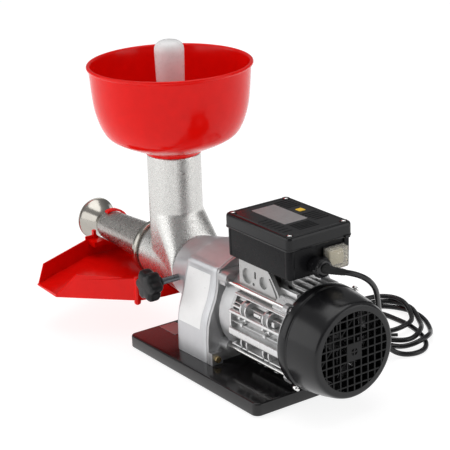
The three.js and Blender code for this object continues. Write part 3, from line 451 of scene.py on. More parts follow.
def carve(name, base, cutters, mat, body, replaces=(), angle=32, bevel=0.0, seg=2):
    """base less the cutters, as one cleaned mesh"""
    made_ = []
    for i, (v, f) in enumerate([base] + list(cutters)):
        me = bpy.data.meshes.new("%s_%d" % (name, i))
        me.from_pydata([T(q) for q in v], [], f)
        bm = bmesh.new()
        bm.from_mesh(me)
        bmesh.ops.remove_doubles(bm, verts=bm.verts, dist=1e-6)
        bmesh.ops.recalc_face_normals(bm, faces=bm.faces)
        bm.to_mesh(me)
        bm.free()
        ob = bpy.data.objects.new(me.name, me)
        bpy.context.scene.collection.objects.link(ob)
        made_.append(ob)
    o = made_[0]
    for c in made_[1:]:
        md = o.modifiers.new("cut", "BOOLEAN")
        md.operation, md.object, md.solver = "DIFFERENCE", c, "EXACT"
    dg = bpy.context.evaluated_depsgraph_get()
    me = bpy.data.meshes.new_from_object(o.evaluated_get(dg))
    for ob in made_:
        bpy.data.objects.remove(ob)
    bm = bmesh.new()
    bm.from_mesh(me)
    bmesh.ops.remove_doubles(bm, verts=bm.verts, dist=2e-6)
    bmesh.ops.dissolve_limit(bm, angle_limit=radians(1.0), verts=bm.verts, edges=bm.edges)
    bmesh.ops.recalc_face_normals(bm, faces=bm.faces)
    bm.to_mesh(me)
    bm.free()
    me.materials.clear()
    me.materials.append(mat)
    ob = bpy.data.objects.new(name, me)
    bpy.context.scene.collection.objects.link(ob)
    finish_piece(ob, body, replaces, angle, bevel, seg)
    return ob


FR = "press_frame"

# ------------------------------------------------------------------ base plate
prof = [(5, 14), (5, 2.6), (4.4, 2), (1.2, 2), (0.35, 2.35), (0, 3.2)]
prof += [(2.8 - 2.8 * cos(radians(a)), 16.2 + 2.8 * sin(radians(a))) for a in (0, 18, 36, 54, 72, 90)]
join("base_plate_shell", [sweep(-143, 143, -93.5, 93.5, 9, prof, 8)], BASE, FR, ["base_plate"], angle=40)
join("base_label_plate", [sweep(-137, -100, -48, -23, 1.5, [(0, 19.02), (0, 19.3), (0.2, 19.42)], 4)], PLATE, FR, angle=30)
for n in ("foot_front_left", "foot_front_right", "foot_rear_left", "foot_rear_right"):
    refine(n, RUBBER, 0.4)

# ------------------------------------------------------------------ gearbox
ARCH = [(42, 145.0), (38.5, 147), (35, 148.6), (31.5, 150.6), (28, 152.3), (21, 154.9), (14, 156.6), (7, 157.7), (0, 158)]
OUT_A = [(70.4, 19.3), (70.3, 50), (69.2, 68), (66.7, 80), (63.6, 90), (60.6, 101), (56.6, 118), (52.6, 130), (50.9, 136),
         (50.5, 139), (49.7, 141.6), (48.2, 143.6), (46.4, 144.9), (44.4, 145.3)]
OUT_B = [(68.9, 19.3), (68.5, 52), (66.9, 70), (63.4, 83), (58.6, 94), (54, 105), (51, 116), (49.6, 127), (48.9, 134),
         (48.7, 138.4), (48.2, 141.4), (47, 143.6), (45.6, 144.9), (44, 145.3)]


def smooth_line(pts, k):
    """Catmull-Rom resampling, k points per stretch"""
    out = []
    for i in range(len(pts) - 1):
        p0, p1, p2, p3 = pts[max(i - 1, 0)], pts[i], pts[i + 1], pts[min(i + 2, len(pts) - 1)]
        for j in range(k):
            t = j / k
            out.append(tuple(0.5 * (2 * b + (c - a) * t + (2 * a - 5 * b + 4 * c - d) * t * t + (3 * b - a - 3 * c + d) * t ** 3)
                             for a, b, c, d in zip(p0, p1, p2, p3)))
    return out + [pts[-1]]


def half(o):
    return o[:1] + smooth_line(o[1:10], 3)[:-1] + o[9:] + ARCH


def full(h):
    return h + [(-y, z) for y, z in reversed(h) if y > 1e-6]


HA, HB = half(OUT_A), half(OUT_B)
GX0, GX1, RX0 = -58.8, 4.5, 5.7


def gear_loop(x, inset=0.0):
    t = (x - GX0) / (GX1 - GX0)
    pts = full([(a[0] + (b[0] - a[0]) * t, a[1] + (b[1] - a[1]) * t) for a, b in zip(HA, HB)])
    cy, cz = 0, 85
    out = []
    for y, z in pts:
        d = hypot(y - cy, z - cz)
        out.append((x, y - (y - cy) / d * inset, max(19.3, z - (z - cz) / d * inset)))
    return out


loops = [gear_loop(GX0, 3), gear_loop(GX0 + 0.3, 1.7), gear_loop(GX0 + 1.1, 0.6), gear_loop(GX0 + 2.4, 0.1)]
loops += [gear_loop(x) for x in (-50, -38, -26, -14, -4, GX1 - 0.6)] + [gear_loop(GX1, 0.5)]
COLLAR_X, COLLAR_R = -105, 44
face = [(0, 58), (35, 66), (50, 85), (54.6, 112), (50, 134), (46.5, 141.5), (42, 144), (28, 151.6), (14, 155.9), (0, 157.3)]
pts = [(GX0 + 2, y, z) for y, z in face + [(-y, z) for y, z in face[1:-1]]]
for y, z in circle(0, PZ, COLLAR_R, 72):
    pts += [(COLLAR_X + 0.8, y, z), (COLLAR_X + 3, y, z)]
for y, z in circle(0, PZ, COLLAR_R - 0.8, 72):
    pts.append((COLLAR_X, y, z))
join("gearbox_front_shell", [stack(loops)], ALU, FR, ["gearbox_front_housing"], angle=38)
join("gearbox_collar", [hull(pts), lathe([(0, -46.5), (7.0, -46.5), (7.6, -45.9), (7.6, -30), (0, -30)], 40, "y", (-85.6, 0, 106.6))], ALU, FR, angle=24)
join("housing_seam", [stack([gear_loop(GX1 + 0.2, 0.9), gear_loop(RX0 - 0.2, 0.9)])], RUBBER, FR, ["housing_gasket"], angle=38)


def side_y(x, z):
    t = (x - GX0) / (GX1 - GX0)
    ln = [(a[0] + (b[0] - a[0]) * t, a[1] + (b[1] - a[1]) * t) for a, b in zip(HA, HB)]
    for p, q in zip(ln, ln[1:]):
        if p[1] <= z <= q[1] and q[1] > p[1]:
            return p[0] + (q[0] - p[0]) * (z - p[1]) / (q[1] - p[1])
    return ln[0][0]


def label_strip(x0a, x0b, x1a, x1b, z0, z1, lift, nz=26, nx=6):
    """thin sheet on the housing's -Y side between two slanted edges"""
    V, F = [], []
    for k in range(nz + 1):
        z = z0 + (z1 - z0) * k / nz
        xa, xb = x0a + (x0b - x0a) * k / nz, x1a + (x1b - x1a) * k / nz
        for i in range(nx + 1):
            x = xa + (xb - xa) * i / nx
            V.append((x, -side_y(x, z) - lift, z))
    w = nx + 1
    for k in range(nz):
        for i in range(nx):
            a = k * w + i
            F.append([a, a + 1, a + 1 + w, a + w])
    m = len(V)
    V += [(x, y + lift + 0.4, z) for x, y, z in V]
    F += [[i + m for i in reversed(f)] for f in list(F)]
    edge = [i for i in range(w)] + [k * w + nx for k in range(1, nz + 1)] + [nz * w + i for i in range(nx - 1, -1, -1)] + [k * w for k in range(nz - 1, 0, -1)]
    for a, b in zip(edge, edge[1:] + edge[:1]):
        F.append([a, a + m, b + m, b])
    return V, F


join("gearbox_side_label", [label_strip(-54.5, -53.5, -8.5, -7, 62, 133, 0.25)], LABEL, FR, angle=40)
refine("gearbox_rear_housing", ALU_DARK, 0.5, 34)
refine("foot_screw_left", ZINC, 0.3)
refine("foot_screw_right", ZINC, 0.3)

# ------------------------------------------------------------------ hidden drive parts keep their CAD shape
for n in ("motor_pinion", "intermediate_gear", "intermediate_pinion", "output_gear", "rotor_core"):
    paint(n, GEAR)
for n in ("intermediate_shaft", "output_shaft", "motor_shaft", "output_bearing", "motor_front_bearing", "motor_rear_bearing"):
    paint(n, STEEL)
paint("output_seal", RUBBER)
paint("stator_core", WIND)
paint("rear_end_shield", ALU_DARK)
paint("run_capacitor", WHITE)
paint("terminal_block", WHITE)

# ------------------------------------------------------------------ motor
FX0_, FX1_ = 43.0, 151.4
core = [(50.5, FX0_), (58.0, FX0_), (58.4, FX0_ + 0.5), (58.4, FX0_ + 3.2), (57.6, FX0_ + 4.6), (52.4, FX0_ + 5.2), (52, FX0_ + 6), (52, FX1_), (48.8, FX1_), (48.8, FX0_)]
# the core between the fins takes the darkened casting colour, painted shade
join("motor_frame_core", [lathe(close(core), 96, "x", (0, 0, MZ))], MOTOR_PAINTED_SHADE, FR, ["motor_frame"], angle=30)
fins, lugs = [], []
for sy in (-1, 1):
    def pr(pts_, a, b):
        return prism([(sy * y, z) for y, z in pts_], a, b, "x")
    # upper fin, lit rail, thick lower rail, bottom fins
    fins.append(pr([(30, 128), (49.4, 125.8), (50.8, 124.6), (50.8, 123.4), (49.6, 122.6), (30, 123)], FX0_ + 3, FX1_))
    fins.append(pr([(40, 115.2), (51.6, 114.6), (52.6, 113.8), (51.6, 112.8), (40, 112.4)], FX0_ + 4, FX1_))
    fins.append(pr([(40, 107), (58, 105.9), (60.2, 105.2), (60.8, 103.8), (60.4, 101.8), (59, 101), (40, 100)], FX0_ + 3, FX1_))
    fins.append(pr([(40, 91.4), (56.6, 90.8), (57.4, 90), (56.6, 89), (40, 88.2)], FX0_ + 5, FX1_))
    fins.append(pr([(40, 83), (60.4, 82.2), (61.6, 81), (61.8, 77), (61.4, 73.4), (59.6, 71), (40, 69)], FX0_ + 3, FX1_))
    fins.append(pr([(30, 61), (57.2, 60.2), (58, 59), (57.2, 57.6), (30, 56.4)], FX0_ + 4, FX1_))
    fins.append(pr([(24, 51.4), (50.4, 50.6), (51.8, 49.4), (50.4, 48.2), (24, 47)], FX0_ + 4, FX1_))
    # end wall of the recess
    fins.append(pr([(40, 105), (57, 105), (60, 101), (60.6, 92), (60.4, 84), (57, 80), (40, 80)], FX0_ + 3.4, FX0_ + 6.4))
    # upright lugs over the rail
    for x in (68.6, 78.2, 113.6, 123.2):
        lugs.append(pr([(34, 105), (58.6, 105), (60.2, 107.4), (60.8, 112), (59.4, 117), (55.4, 120.6), (50, 122.2), (34, 123)], x, x + 2.6))
    for x in (71, 116):
        lugs.append(pr([(40, 106), (54.4, 106), (54.4, 120), (40, 120)], x, x + 8))
    for x0_, x1_, z0_, z1_, y_ in ((92, 106, 108.6, 113.6, 56), (130, 135.2, 107, 114, 57.4), (46, 66, 108.4, 111.6, 55.6)):
        lugs.append(pr([(40, z0_), (y_ - 0.8, z0_), (y_, z0_ + 1), (y_, z1_ - 1), (y_ - 0.8, z1_), (40, z1_)], x0_, x1_))
    # blocks inside the recess
    for x in (64, 76, 112, 124):
        lugs.append(pr([(40, 101.4), (59, 101.4), (60, 98.4), (58.4, 95.4), (40, 95.4)], x, x + 3.2))
    for x in (66, 113):
        lugs.append(pr([(40, 88), (58.6, 88), (59, 91.4), (57.4, 93), (40, 93)], x, x + 5))
    # short ribs between the lower rail and the bottom fins
    for x in (67, 78, 112, 123):
        lugs.append(pr([(40, 72), (59, 72), (59.6, 66), (57.6, 57), (50, 48), (40, 46)], x, x + 2.2))
    for x in (84, 97, 118):
        lugs.append(pr([(30, 50), (47, 50), (46, 40.4), (42, 38), (30, 38)], x, x + 3.4))
for y in (-26, -13, 0, 13, 26):
    fins.append(boxm(FX0_ + 4, FX1_, y - 1.2, y + 1.2, MZ - 62.6 + abs(y) * 0.2, MZ - 40))
join("motor_frame_fins", fins, MOTOR, FR, angle=30, bevel=0.55, seg=3)
join("motor_frame_lugs", lugs, MOTOR, FR, angle=30, bevel=0.5, seg=3)
pad = prism([(44, 118), (132, 118), (132, 129), (126, 139), (121.5, 146), (116.6, 152), (111.5, 158.6), (106, 165), (100, 170.2), (44, 170.2)], -41, 41, "y")
cuts = [boxm(47, 122, -35, 35, 149, 164), lathe([(0, 42), (50, 42), (50, 137), (0, 137)], 72, "x", (0, 0, MZ))]
for sy in (-1, 1):
    ya, yb = (37.2, 45) if sy > 0 else (-45, -37.2)
    cuts.append(lathe([(0, ya), (10, ya), (10, yb), (0, yb)], 48, "y", (60.5, 0, 149.6)))
    cuts.append(lathe([(0, ya), (8, ya), (8, yb), (0, yb)], 40, "y", (93.6, 0, 149.4)))
    cuts.append(prism(rr(75.2, 79, 150, 159.5, 1.7, 4), ya, yb, "y"))
    cuts.append(lathe([(0, ya), (2.1, ya), (2.1, yb), (0, yb)], 20, "y", (73.5, 0, 142)))
    ye, yf = (39, 45) if sy > 0 else (-45, -39)
    cuts.append(prism([(105, 158), (112, 149), (117, 141), (121, 132), (124.6, 132), (120, 143), (114.6, 151), (107.6, 160)], ye, yf, "y"))
carve("motor_box_pad", pad, cuts, PAD, FR, bevel=0.5, seg=2)
blocks = []
for y in (-31, -19, -7, 5, 17, 28):
    blocks.append(prism([(y - 3, 136), (y + 3, 136), (y + 3, 153 - abs(y) * 0.12), (y + 2.2, 154 - abs(y) * 0.12), (y - 2.2, 154 - abs(y) * 0.12), (y - 3, 153 - abs(y) * 0.12)], 118, FX1_, "x"))
blocks.append(boxm(104, 128, -22, 22, 136, 168))
blocks.append(prism([(-46, 122), (-33, 133), (-33, 141), (-38, 143), (-50, 130)], 122, FX1_, "x"))
blocks.append(prism([(46, 122), (33, 133), (33, 141), (38, 143), (50, 130)], 122, FX1_, "x"))
join("motor_top_blocks", blocks, MOTOR, FR, angle=30, bevel=0.5)
refine("cooling_fan", SATIN, 0.4)

R_ = 68.9
outer = [(67.0, 155), (67.7, 155), (R_ - 0.3, 155.3), (R_, 156), (68.4, 166.2), (67.9, 167.1), (66.8, 168.0), (66.5, 168.6), (66.5, 169.7), (67.0, 170.6), (67.6, 171.6)]
outer += [(67.6 - 2.8 * t - 0.4 * sin(pi * t) * 0.3, 171.6 + 23.4 * t) for t in (0.15, 0.3, 0.5, 0.7, 0.85)]
outer += [(64.8, 195), (63.2, 203), (61.9, 209), (60.9, 212.4), (60.0, 214.9), (58.9, 216.5), (57.6, 217.35), (56.4, 217.5), (51.0, 217.5), (50.7, 217.2), (50.7, 214.8),
          (57.6, 214.8), (60.4, 204), (62.5, 195), (64.9, 171.6), (64.9, 166), (66.8, 163.6), (67.0, 155)]
grille = []
P_, H_ = 10.7, 1.0
for i in range(-4, 5):
    p = i * P_
    c = sqrt(51.4 ** 2 - p * p)
    grille.append(boxm(214.9, 217.3, p - H_, p + H_, MZ - c, MZ + c))
    grille.append(boxm(215.0, 217.2, -c, c, MZ + p - H_, MZ + p + H_))
hub = [(x, y, z) for x, y, z in []]
sq = [(-11.2, -11.2), (11.2, -11.2), (11.2, 11.2), (-11.2, 11.2)]
hubr = [[(r_ * cos(TAU * (i + 0.5) / 48), r_ * sin(TAU * (i + 0.5) / 48)) for i in range(48)] for r_ in (4.6,)][0]
sqr = [(11.2 * c_ / max(abs(c_), abs(s_)), 11.2 * s_ / max(abs(c_), abs(s_))) for c_, s_ in ((cos(TAU * (i + 0.5) / 48), sin(TAU * (i + 0.5) / 48)) for i in range(48))]
hv = [(x_, y_, MZ + z_) for x_ in (214.9, 217.4) for y_, z_ in hubr + sqr]
hf = []
for i in range(48):
    j = (i + 1) % 48
    hf += [[i, j, 48 + j, 48 + i], [96 + i, 144 + i, 144 + j, 96 + j], [i, 96 + i, 96 + j, j], [48 + i, 48 + j, 144 + j, 144 + i]]
grille.append((hv, hf))
notches = [lathe([(0, 153), (8.3, 153), (8.3, 158), (0, 158)], 32, "x", (0, sy * 44.1, MZ + sz * 44.1)) for sy in (-1, 1) for sz in (-1, 1)]
carve("cowl_shell", lathe(outer, 112, "x", (0, 0, MZ)), notches, SATIN, FR, ["fan_cowl"], angle=30)
join("cowl_grille", grille, GRILLE, FR, angle=30, bevel=0.35)


def cross_head(r, h, axis_len):
    """pan head with a round recess, standing on z = 0 and pointing up +z"""
    prof = [(0.0, h * 0.62), (r * 0.16, h * 0.62)]
    V, F = lathe([(r, 0), (r, h * 0.25), (r * 0.93, h * 0.6), (r * 0.72, h * 0.88), (r * 0.42, h), (r * 0.38, h * 0.99), (r * 0.3, h * 0.6), (0, h * 0.45)], 24, "z")
    return V, F


for n, a in (("cowl_screw_upper", 46), ("cowl_screw_lower", 230.3)):
    head = lathe([(0, 67.7), (2, 67.7), (2, 70.2), (4.8, 70.2), (4.8, 71.6), (4.3, 72.8), (3.2, 73.6), (1.9, 73.6), (1.5, 72.6), (0, 72.3)], 28, "y")
    m = Matrix.Translation((157, 0, MZ)) @ Matrix.Rotation(radians(a - 90), 4, "X")
    rot = Matrix.Rotation(radians(a), 4, "X")
    join(n + "_head", [moved(head, Matrix.Translation((161, 0, MZ)) @ rot)], STEEL, FR, [n], angle=28)
ROD = 44.1
for n, sy, sz in (("tie_rod_1", -1, 1), ("tie_rod_2", 1, 1), ("tie_rod_3", 1, -1), ("tie_rod_4", -1, -1)):
    o = (0, sy * ROD, MZ + sz * ROD)
    prof = [(0, 14), (2.4, 14), (2.4, 41), (3.2, 41.6), (3.2, 150.4), (4.5, 150.4), (4.8, 150.7), (4.8, 156.7), (4.2, 157.4), (2.7, 157.4), (2.4, 157.0), (2.4, 152.6), (0, 152.3)]
    join(n + "_bar", [lathe(prof, 28, "x", o)], STEEL, FR, [n], angle=28)

# ------------------------------------------------------------------ terminal box
X0, X1, YB, ZT = 26.5, 157.5, 50, 226.5
base_prof = [(6.4, 173.1), (5.9, 171), (4.0, 170.6), (3.4, 171.2), (3.1, 185), (2.8, 206.6), (3.0, 207.4), (4, 207.6), (4.9, 207.3), (5.6, 175)]
tb = [sweep(X0, X1, -YB, YB, 7, base_prof, 7)]
for x in (X0 + 8.6, X1 - 8.6):
    for y in (-YB + 8.6, YB - 8.6):
        tb.append(lathe([(0, 172), (5.4, 172), (5.9, 172.6), (6.35, 206.4), (6.0, 207.2), (0, 207.2)], 40, "z", (x, y, 0)))
for y in (-41, -34, 34, 41):
    tb.append(boxm(X0 + 2.4, X0 + 4, y - 0.5, y + 0.5, 174, 206))
tb += [boxm(X0 + 0.6, X0 + 4, -40, -33, 191, 207.4), boxm(X1 - 4, X1 - 0.6, 36, 43, 191, 207.4)]
join("terminal_box_shell", tb, BOX, FR, ["terminal_box_base"], angle=30, bevel=0.25)
lid_prof = [(4.8, 225), (3.6, 208.6), (2.8, 208), (0.9, 208.0), (0.4, 208.3), (0.1, 209.0), (0.1, 210.4), (0.5, 210.8), (0.6, 211.4), (0.55, 221.2), (0.7, 223.2), (1.3, 224.9), (2.3, 226.0), (3.6, ZT), (6.2, ZT), (6.8, ZT - 0.35), (9, ZT - 0.35)]
lid = [sweep(X0, X1, -YB, YB, 7, lid_prof, 8)]
lid += [boxm(X0 - 2.4, X0 + 1, -40, -33, 208.0, 211), boxm(X1 - 1, X1 + 2.0, 36, 43, 208.0, 211)]
join("terminal_lid_shell", lid, LID, FR, ["terminal_box_lid"], angle=30)
# fine ribs beside the plate and the blank rating plate itself
ribs = [boxm(x, x + 1.2, 19, 41, ZT - 0.5, ZT + 0.4) for x in (40, 46, 52, 58, 64, 96, 102, 108, 114, 120)]
ribs += [boxm(x, x + 1.2, -18, 12, ZT - 0.5, ZT + 0.4) for x in (119, 123.5, 128, 132.5, 137)]
ribs += [boxm(x, x + 1.2, -39, -25, ZT - 0.5, ZT + 0.25) for x in (84, 92, 100, 108, 116, 124, 132)]
join("terminal_lid_ribs", ribs, LID, FR, angle=30, bevel=0.3)
join("rating_plate_blank", [sweep(45, 112.5, -20.5, 15, 1.2, [(0, ZT - 0.4), (0, ZT + 0.1), (0.15, ZT + 0.2)], 3)], PLATE, FR, angle=30)
join("lid_mark", [sweep(76.5, 86.5, 23.5, 33, 1.5, [(0, ZT - 0.4), (0, ZT + 0.05), (0.15, ZT + 0.15)], 4)], YELLOW, FR, angle=30)
k = 1
for x in (X0 + 8.6, X1 - 8.6):
    for y in (-YB + 8.6, YB - 8.6):
        cup = lathe(close([(3.4, ZT - 1), (5.4, ZT - 1), (5.3, ZT + 0.2), (4.9, ZT + 0.55), (3.9, ZT + 0.55), (3.5, ZT + 0.2)]), 32, "z", (x, y, 0))
        head = lathe([(0, 222), (3.3, 222), (3.3, ZT - 0.2), (3.0, ZT + 0.5), (2.2, ZT + 0.95), (1.2, ZT + 1.15), (0, ZT + 1.2)], 28, "z", (x, y, 0))
        # black bars on each screw head: painted shade standing in for the shaded cross recess
        painted_cross_shade = [boxm(x - 2.0, x + 2.0, y - 0.35, y + 0.35, ZT, ZT + 1.23), boxm(x - 0.35, x + 0.35, y - 2.0, y + 2.0, ZT, ZT + 1.23)]
        join("lid_screw_cup_%d" % k, [cup], LID, FR, angle=30)
        join("lid_screw_head_%d" % k, [head], STEEL, FR, ["lid_screw_%d" % k], angle=40)
        join("lid_screw_cross_%d" % k, painted_cross_shade, RUBBER, FR, angle=30)
        k += 1
refine("cable_gland_body", GLAND, 0.5, 30, 3)
GC = (0, -9.5, 184.5)
gx = 164.1
nut = [lathe(close([(4.05, gx), (11.2, gx), (11.2, gx + 8.7), (10.9, gx + 9.9), (9.8, gx + 11.2), (8.6, gx + 11.7), (6.4, gx + 11.9), (4.6, gx + 11.6), (4.05, gx + 11)]), 48, "x", GC),
       prism(circle(GC[1], GC[2], 13.3, 6, 0), gx, gx + 8.3, "x")]
for i in range(24):
    a = TAU * i / 24
    m = Matrix.Translation(GC) @ Matrix.Rotation(a, 4, "X")
    nut.append(moved(boxm(gx + 7.9, gx + 10.6, -0.55, 0.55, 9.2, 11.5), m))
join("gland_nut_shell", nut, GLAND, FR, ["cable_gland_nut"], angle=30, bevel=0.35)
refine("switch_body", SATIN, 0.4, 30)
refine("switch_rocker", CREAM, 0.6, 30, 3)
refine("switch_boot", BOOT, 0.7, 30, 3)

# ------------------------------------------------------------------ press body
def press_body():
    o = (0, 0, PZ)
    barrel = lathe(close([(12, -82.6), (36.9, -82.6), (36.9, -105.3), (43.2, -105.3), (43.6, -105.8), (43.3, -108), (42.3, -113), (41.4, -120), (40.4, -134), (39.4, -150),
                          (38.6, -166), (38, -180), (37.8, -199), (36, -199.3), (36, -209), (32.5, -209), (32.5, -92), (12, -91)]), 96, "x", o)
    neck = lathe(close([(31.5, 100), (36.4, 100), (36.4, 253.6), (35.8, 254.2), (32.1, 254.2), (31.5, 253.6)]), 96, "z", (NX, 0, 0))
    pts_ = []
    for x, y in circle(NX, 0, 36.4, 72):
        pts_ += [(x, y, 175), (x, y, 109)]
    for y, z in circle(0, PZ, 43.4, 72):
        if z > PZ - 1:
            pts_.append((-105.3, y, z))
    gusset = hull(pts_)

    def solid(name, part):
        me = bpy.data.meshes.new(name)
        me.from_pydata([T(v) for v in part[0]], [], part[1])
        bm = bmesh.new()
        bm.from_mesh(me)
        bmesh.ops.recalc_face_normals(bm, faces=bm.faces)
        bmesh.ops.triangulate(bm, faces=[f for f in bm.faces if len(f.verts) > 4])
        bm.to_mesh(me)
        bm.free()
        ob = bpy.data.objects.new(name, me)
        bpy.context.scene.collection.objects.link(ob)
        return ob
    out = solid("press_outer", lathe([(0, -82.6), (36.9, -82.6), (36.9, -105.3), (43.2, -105.3), (43.6, -105.8), (43.3, -108), (42.3, -113), (41.4, -120), (40.4, -134), (39.4, -150),
                                      (38.6, -166), (38, -180), (37.8, -199), (36, -199.3), (36, -209), (0, -209)], 96, "x", o))
    nk = solid("press_neck", lathe([(0, 104), (36.4, 104), (36.4, 253.6), (35.8, 254.2), (0, 254.2)], 96, "z", (NX, 0, 0)))
    gs = solid("press_gusset", gusset)
    b1 = solid("press_bore_1", lathe([(0, 104), (31.5, 104), (31.5, 260), (0, 260)], 96, "z", (NX, 0, 0)))
    b2 = solid("press_bore_2", lathe([(0, -214), (32.5, -214), (32.5, -92), (0, -92)], 96, "x", o))
    for other, op in ((nk, "UNION"), (gs, "UNION"), (b1, "DIFFERENCE"), (b2, "DIFFERENCE")):
        md = out.modifiers.new(op, "BOOLEAN")
        md.operation, md.object, md.solver = op, other, "EXACT"
    dg = bpy.context.evaluated_depsgraph_get()
    me = bpy.data.meshes.new_from_object(out.evaluated_get(dg))
    for ob in (out, nk, gs, b1, b2):
        bpy.data.objects.remove(ob)
    # even skin, with the creases rounded like a casting
    ob = bpy.data.objects.new("press_body_casting", me)
    bpy.context.scene.collection.objects.link(ob)
    md = ob.modifiers.new("remesh", "REMESH")
    md.mode, md.voxel_size = "VOXEL", 0.0012
    dg = bpy.context.evaluated_depsgraph_get()
    me2 = bpy.data.meshes.new_from_object(ob.evaluated_get(dg))
    ob.modifiers.clear()
    ob.data = me2
    me2.name = "press_body_casting"
    n = len(me2.vertices)
    import numpy as np
    co = np.zeros(n * 3)
    me2.vertices.foreach_get("co", co)
    co = co.reshape(-1, 3)
    e = np.zeros(len(me2.edges) * 2, int)
    me2.edges.foreach_get("vertices", e)
    e = e.reshape(-1, 2)
    mm = co * 1000 - np.array([OX, OY, 0])
    d_ax = np.hypot(mm[:, 1], mm[:, 2] - PZ)
    d_nk = np.hypot(mm[:, 0] - NX, mm[:, 1])
    # weight: strong where the neck, gusset and barrel meet, light elsewhere
    w = np.full(n, 0.35)
    crease = (d_nk > 35.5) & (mm[:, 2] > PZ + 3) & (mm[:, 2] < 182) & (mm[:, 0] < -103) & (d_ax > 36.5)
    w[crease] = 0.9
    deg = np.bincount(e.ravel(), minlength=n)[:, None]
    for it in range(14):
        s = np.zeros_like(co)
        np.add.at(s, e[:, 0], co[e[:, 1]])
        np.add.at(s, e[:, 1], co[e[:, 0]])
        avg = s / np.maximum(deg, 1)
        ww = np.where((w > 0.5) | (it < 3), w, 0)[:, None]
        co = co + (avg - co) * 0.6 * ww
    me2.vertices.foreach_set("co", co.astype(np.float32).ravel())
    me2.materials.clear()
    me2.materials.append(CAST)
    finish_piece(ob, FR, ("press_body",), 0)


press_body()
refine("auger", AUGER, 0.3)

# ring nut, strainer cone and waste nozzle
nutp = close([(29, -213), (37.9, -213), (38.8, -212.7), (39.6, -211.9), (39.8, -211), (39.8, -205.2), (39.5, -204.2), (38.8, -203.2), (38.2, -203), (37.2, -203), (36.4, -203.3), (36.4, -211), (29, -211)])
join("ring_nut_shell", [lathe(nutp, 96, "x", (0, 0, PZ))], CHROME, "ring_nut_body", ["ring_nut"], angle=28)
RB0, RB1, FX0, FX1 = 28.2, 21.1, -209.3, -336


def cone_r(x):
    return RB0 + (RB1 - RB0) * (x - FX0) / (FX1 - FX0)


cone_profile = [(35.8, -211.1), (35.8, -211.9), (cone_r(-213) + 1.2, -212.2), (cone_r(-214), -213.6)]
cone_profile += [(cone_r(x), x) for x in (-230, -250, -270, -290, -310, -325, -333.4)]
cone_profile += [(20.6, -335.0), (19.9, -335.7), (19.0, -335.8), (18.4, -335.6)]
cone_profile += [(cone_r(-333) - 1.3, -333), (cone_r(-214) - 1.3, -214), (cone_r(-211) - 1.3, -210.6), (35.8, -210.6)]


def lathe_uv(name, profile, n, mat, body, replaces):
    V, F = lathe(close(profile), n, "x", (0, 0, PZ))
    o = piece(name, V, F, mat, body, replaces, angle=28)
    lay = o.data.uv_layers.new(name="uv")
    for poly in o.data.polygons:
        idx = [o.data.loops[li].vertex_index for li in poly.loop_indices]
        us = [(i % n) / n for i in idx]
        wrap = max(us) - min(us) > 0.5
        for li, i, u in zip(poly.loop_indices, idx, us):
            if wrap and u < 0.5:
                u += 1
            k_ = i // n
            lay.data[li].uv = (u, profile[k_ % len(profile)][1] / 1000)
    return o


lathe_uv("strainer_cone_shell", cone_profile, 96, PERF, FR, ["filter_cone"])
noz = [(18.2, -336.3), (19.0, -336.3), (19.45, -336.7), (19.2, -338.2), (18.5, -341), (18.6, -344), (19.6, -349), (21.2, -353.6), (23.6, -359.4), (26.3, -364.8), (28.8, -368.9),
       (29.6, -369.6), (30.4, -369.9), (30.7, -370.6), (30.4, -371.6), (29.7, -372.1), (28.7, -372.0), (28.0, -371.2), (27.6, -369.4),
       (25.2, -364.8), (22.2, -359.4), (20.0, -353.8), (18.3, -349), (17.3, -344.6), (17.1, -341), (17.6, -338), (18.2, -336.3)]
join("waste_nozzle_shell", [lathe(noz, 96, "x", (0, 0, PZ))], CHROME, FR, ["waste_nozzle"], angle=40)

# ------------------------------------------------------------------ hopper and pusher
hop = [(31, 224), (31, 254.5), (37.2, 254.5), (37.9, 254.8), (38.5, 256.2), (39.4, 258), (41.4, 259.5), (45, 260.8), (54, 264.4), (63, 268.3), (71, 271.9), (78.4, 275.8), (83, 278.6), (86.7, 281.6),
       (89.6, 285), (92, 289), (94.7, 294.4), (97, 299.8), (100, 309.2), (102.4, 319), (104.2, 332), (105.7, 350), (107.1, 369), (107.4, 371.6), (108.8, 372.6), (110.0, 373.6), (110.4, 374.8),
       (110.0, 376.2), (109.0, 377.1), (107.8, 377.4), (106.4, 377.0), (105.3, 375.8), (104.8, 374),
       (103.4, 355), (102, 335), (100, 319.2), (97.7, 310), (94.7, 300.8), (92.5, 295.4), (89.9, 290.4), (87.6, 286.6), (84.9, 283.6), (81.4, 280.8), (77, 278.2), (69.5, 274.6),
       (58, 269.7), (44, 263.8), (36, 260.6), (32, 259), (29.6, 257.4), (28.6, 255), (28.6, 224)]
join("hopper_shell", [lathe(close(hop), 128, "z", (NX, 0, 0))], RED, "hopper_body", ["hopper"], angle=40)
pus = [(14.4, 139), (15.9, 139), (16.6, 139.5), (16.9, 140.4), (17.4, 300), (18.9, 358), (19.8, 392), (19.65, 395.4), (18.9, 398.6), (17.4, 401.4), (15, 403.7),
       (12, 405.3), (8, 406.4), (4, 406.9), (0, 407)]
pus_in = [(0, 405.4), (8, 404.6), (13.6, 402), (16.6, 398), (17.8, 391.6), (15, 300), (14.4, 139)]
join("pusher_shell", [lathe(pus + pus_in, 96, "z", (NX, 0, 0))], PUSH, "pusher_body", ["pusher"], angle=40)

# ------------------------------------------------------------------ clamp
CL = (-85.6, 0, 106.6)
stud = [(0, -97.5), (4.1, -97.5), (4.4, -97.2)]
x = -81.0
while x < -40:
    stud += [(4.4, x), (3.95, x + 0.4), (4.4, x + 0.8)]
    x += 1.0
stud += [(4.4, -38.6), (3.4, -37.3), (0, -37.3)]
join("clamp_stud_threaded", [lathe(stud, 36, "y", CL)], STUD, "clamp_stud_body", ["clamp_stud"], angle=60)


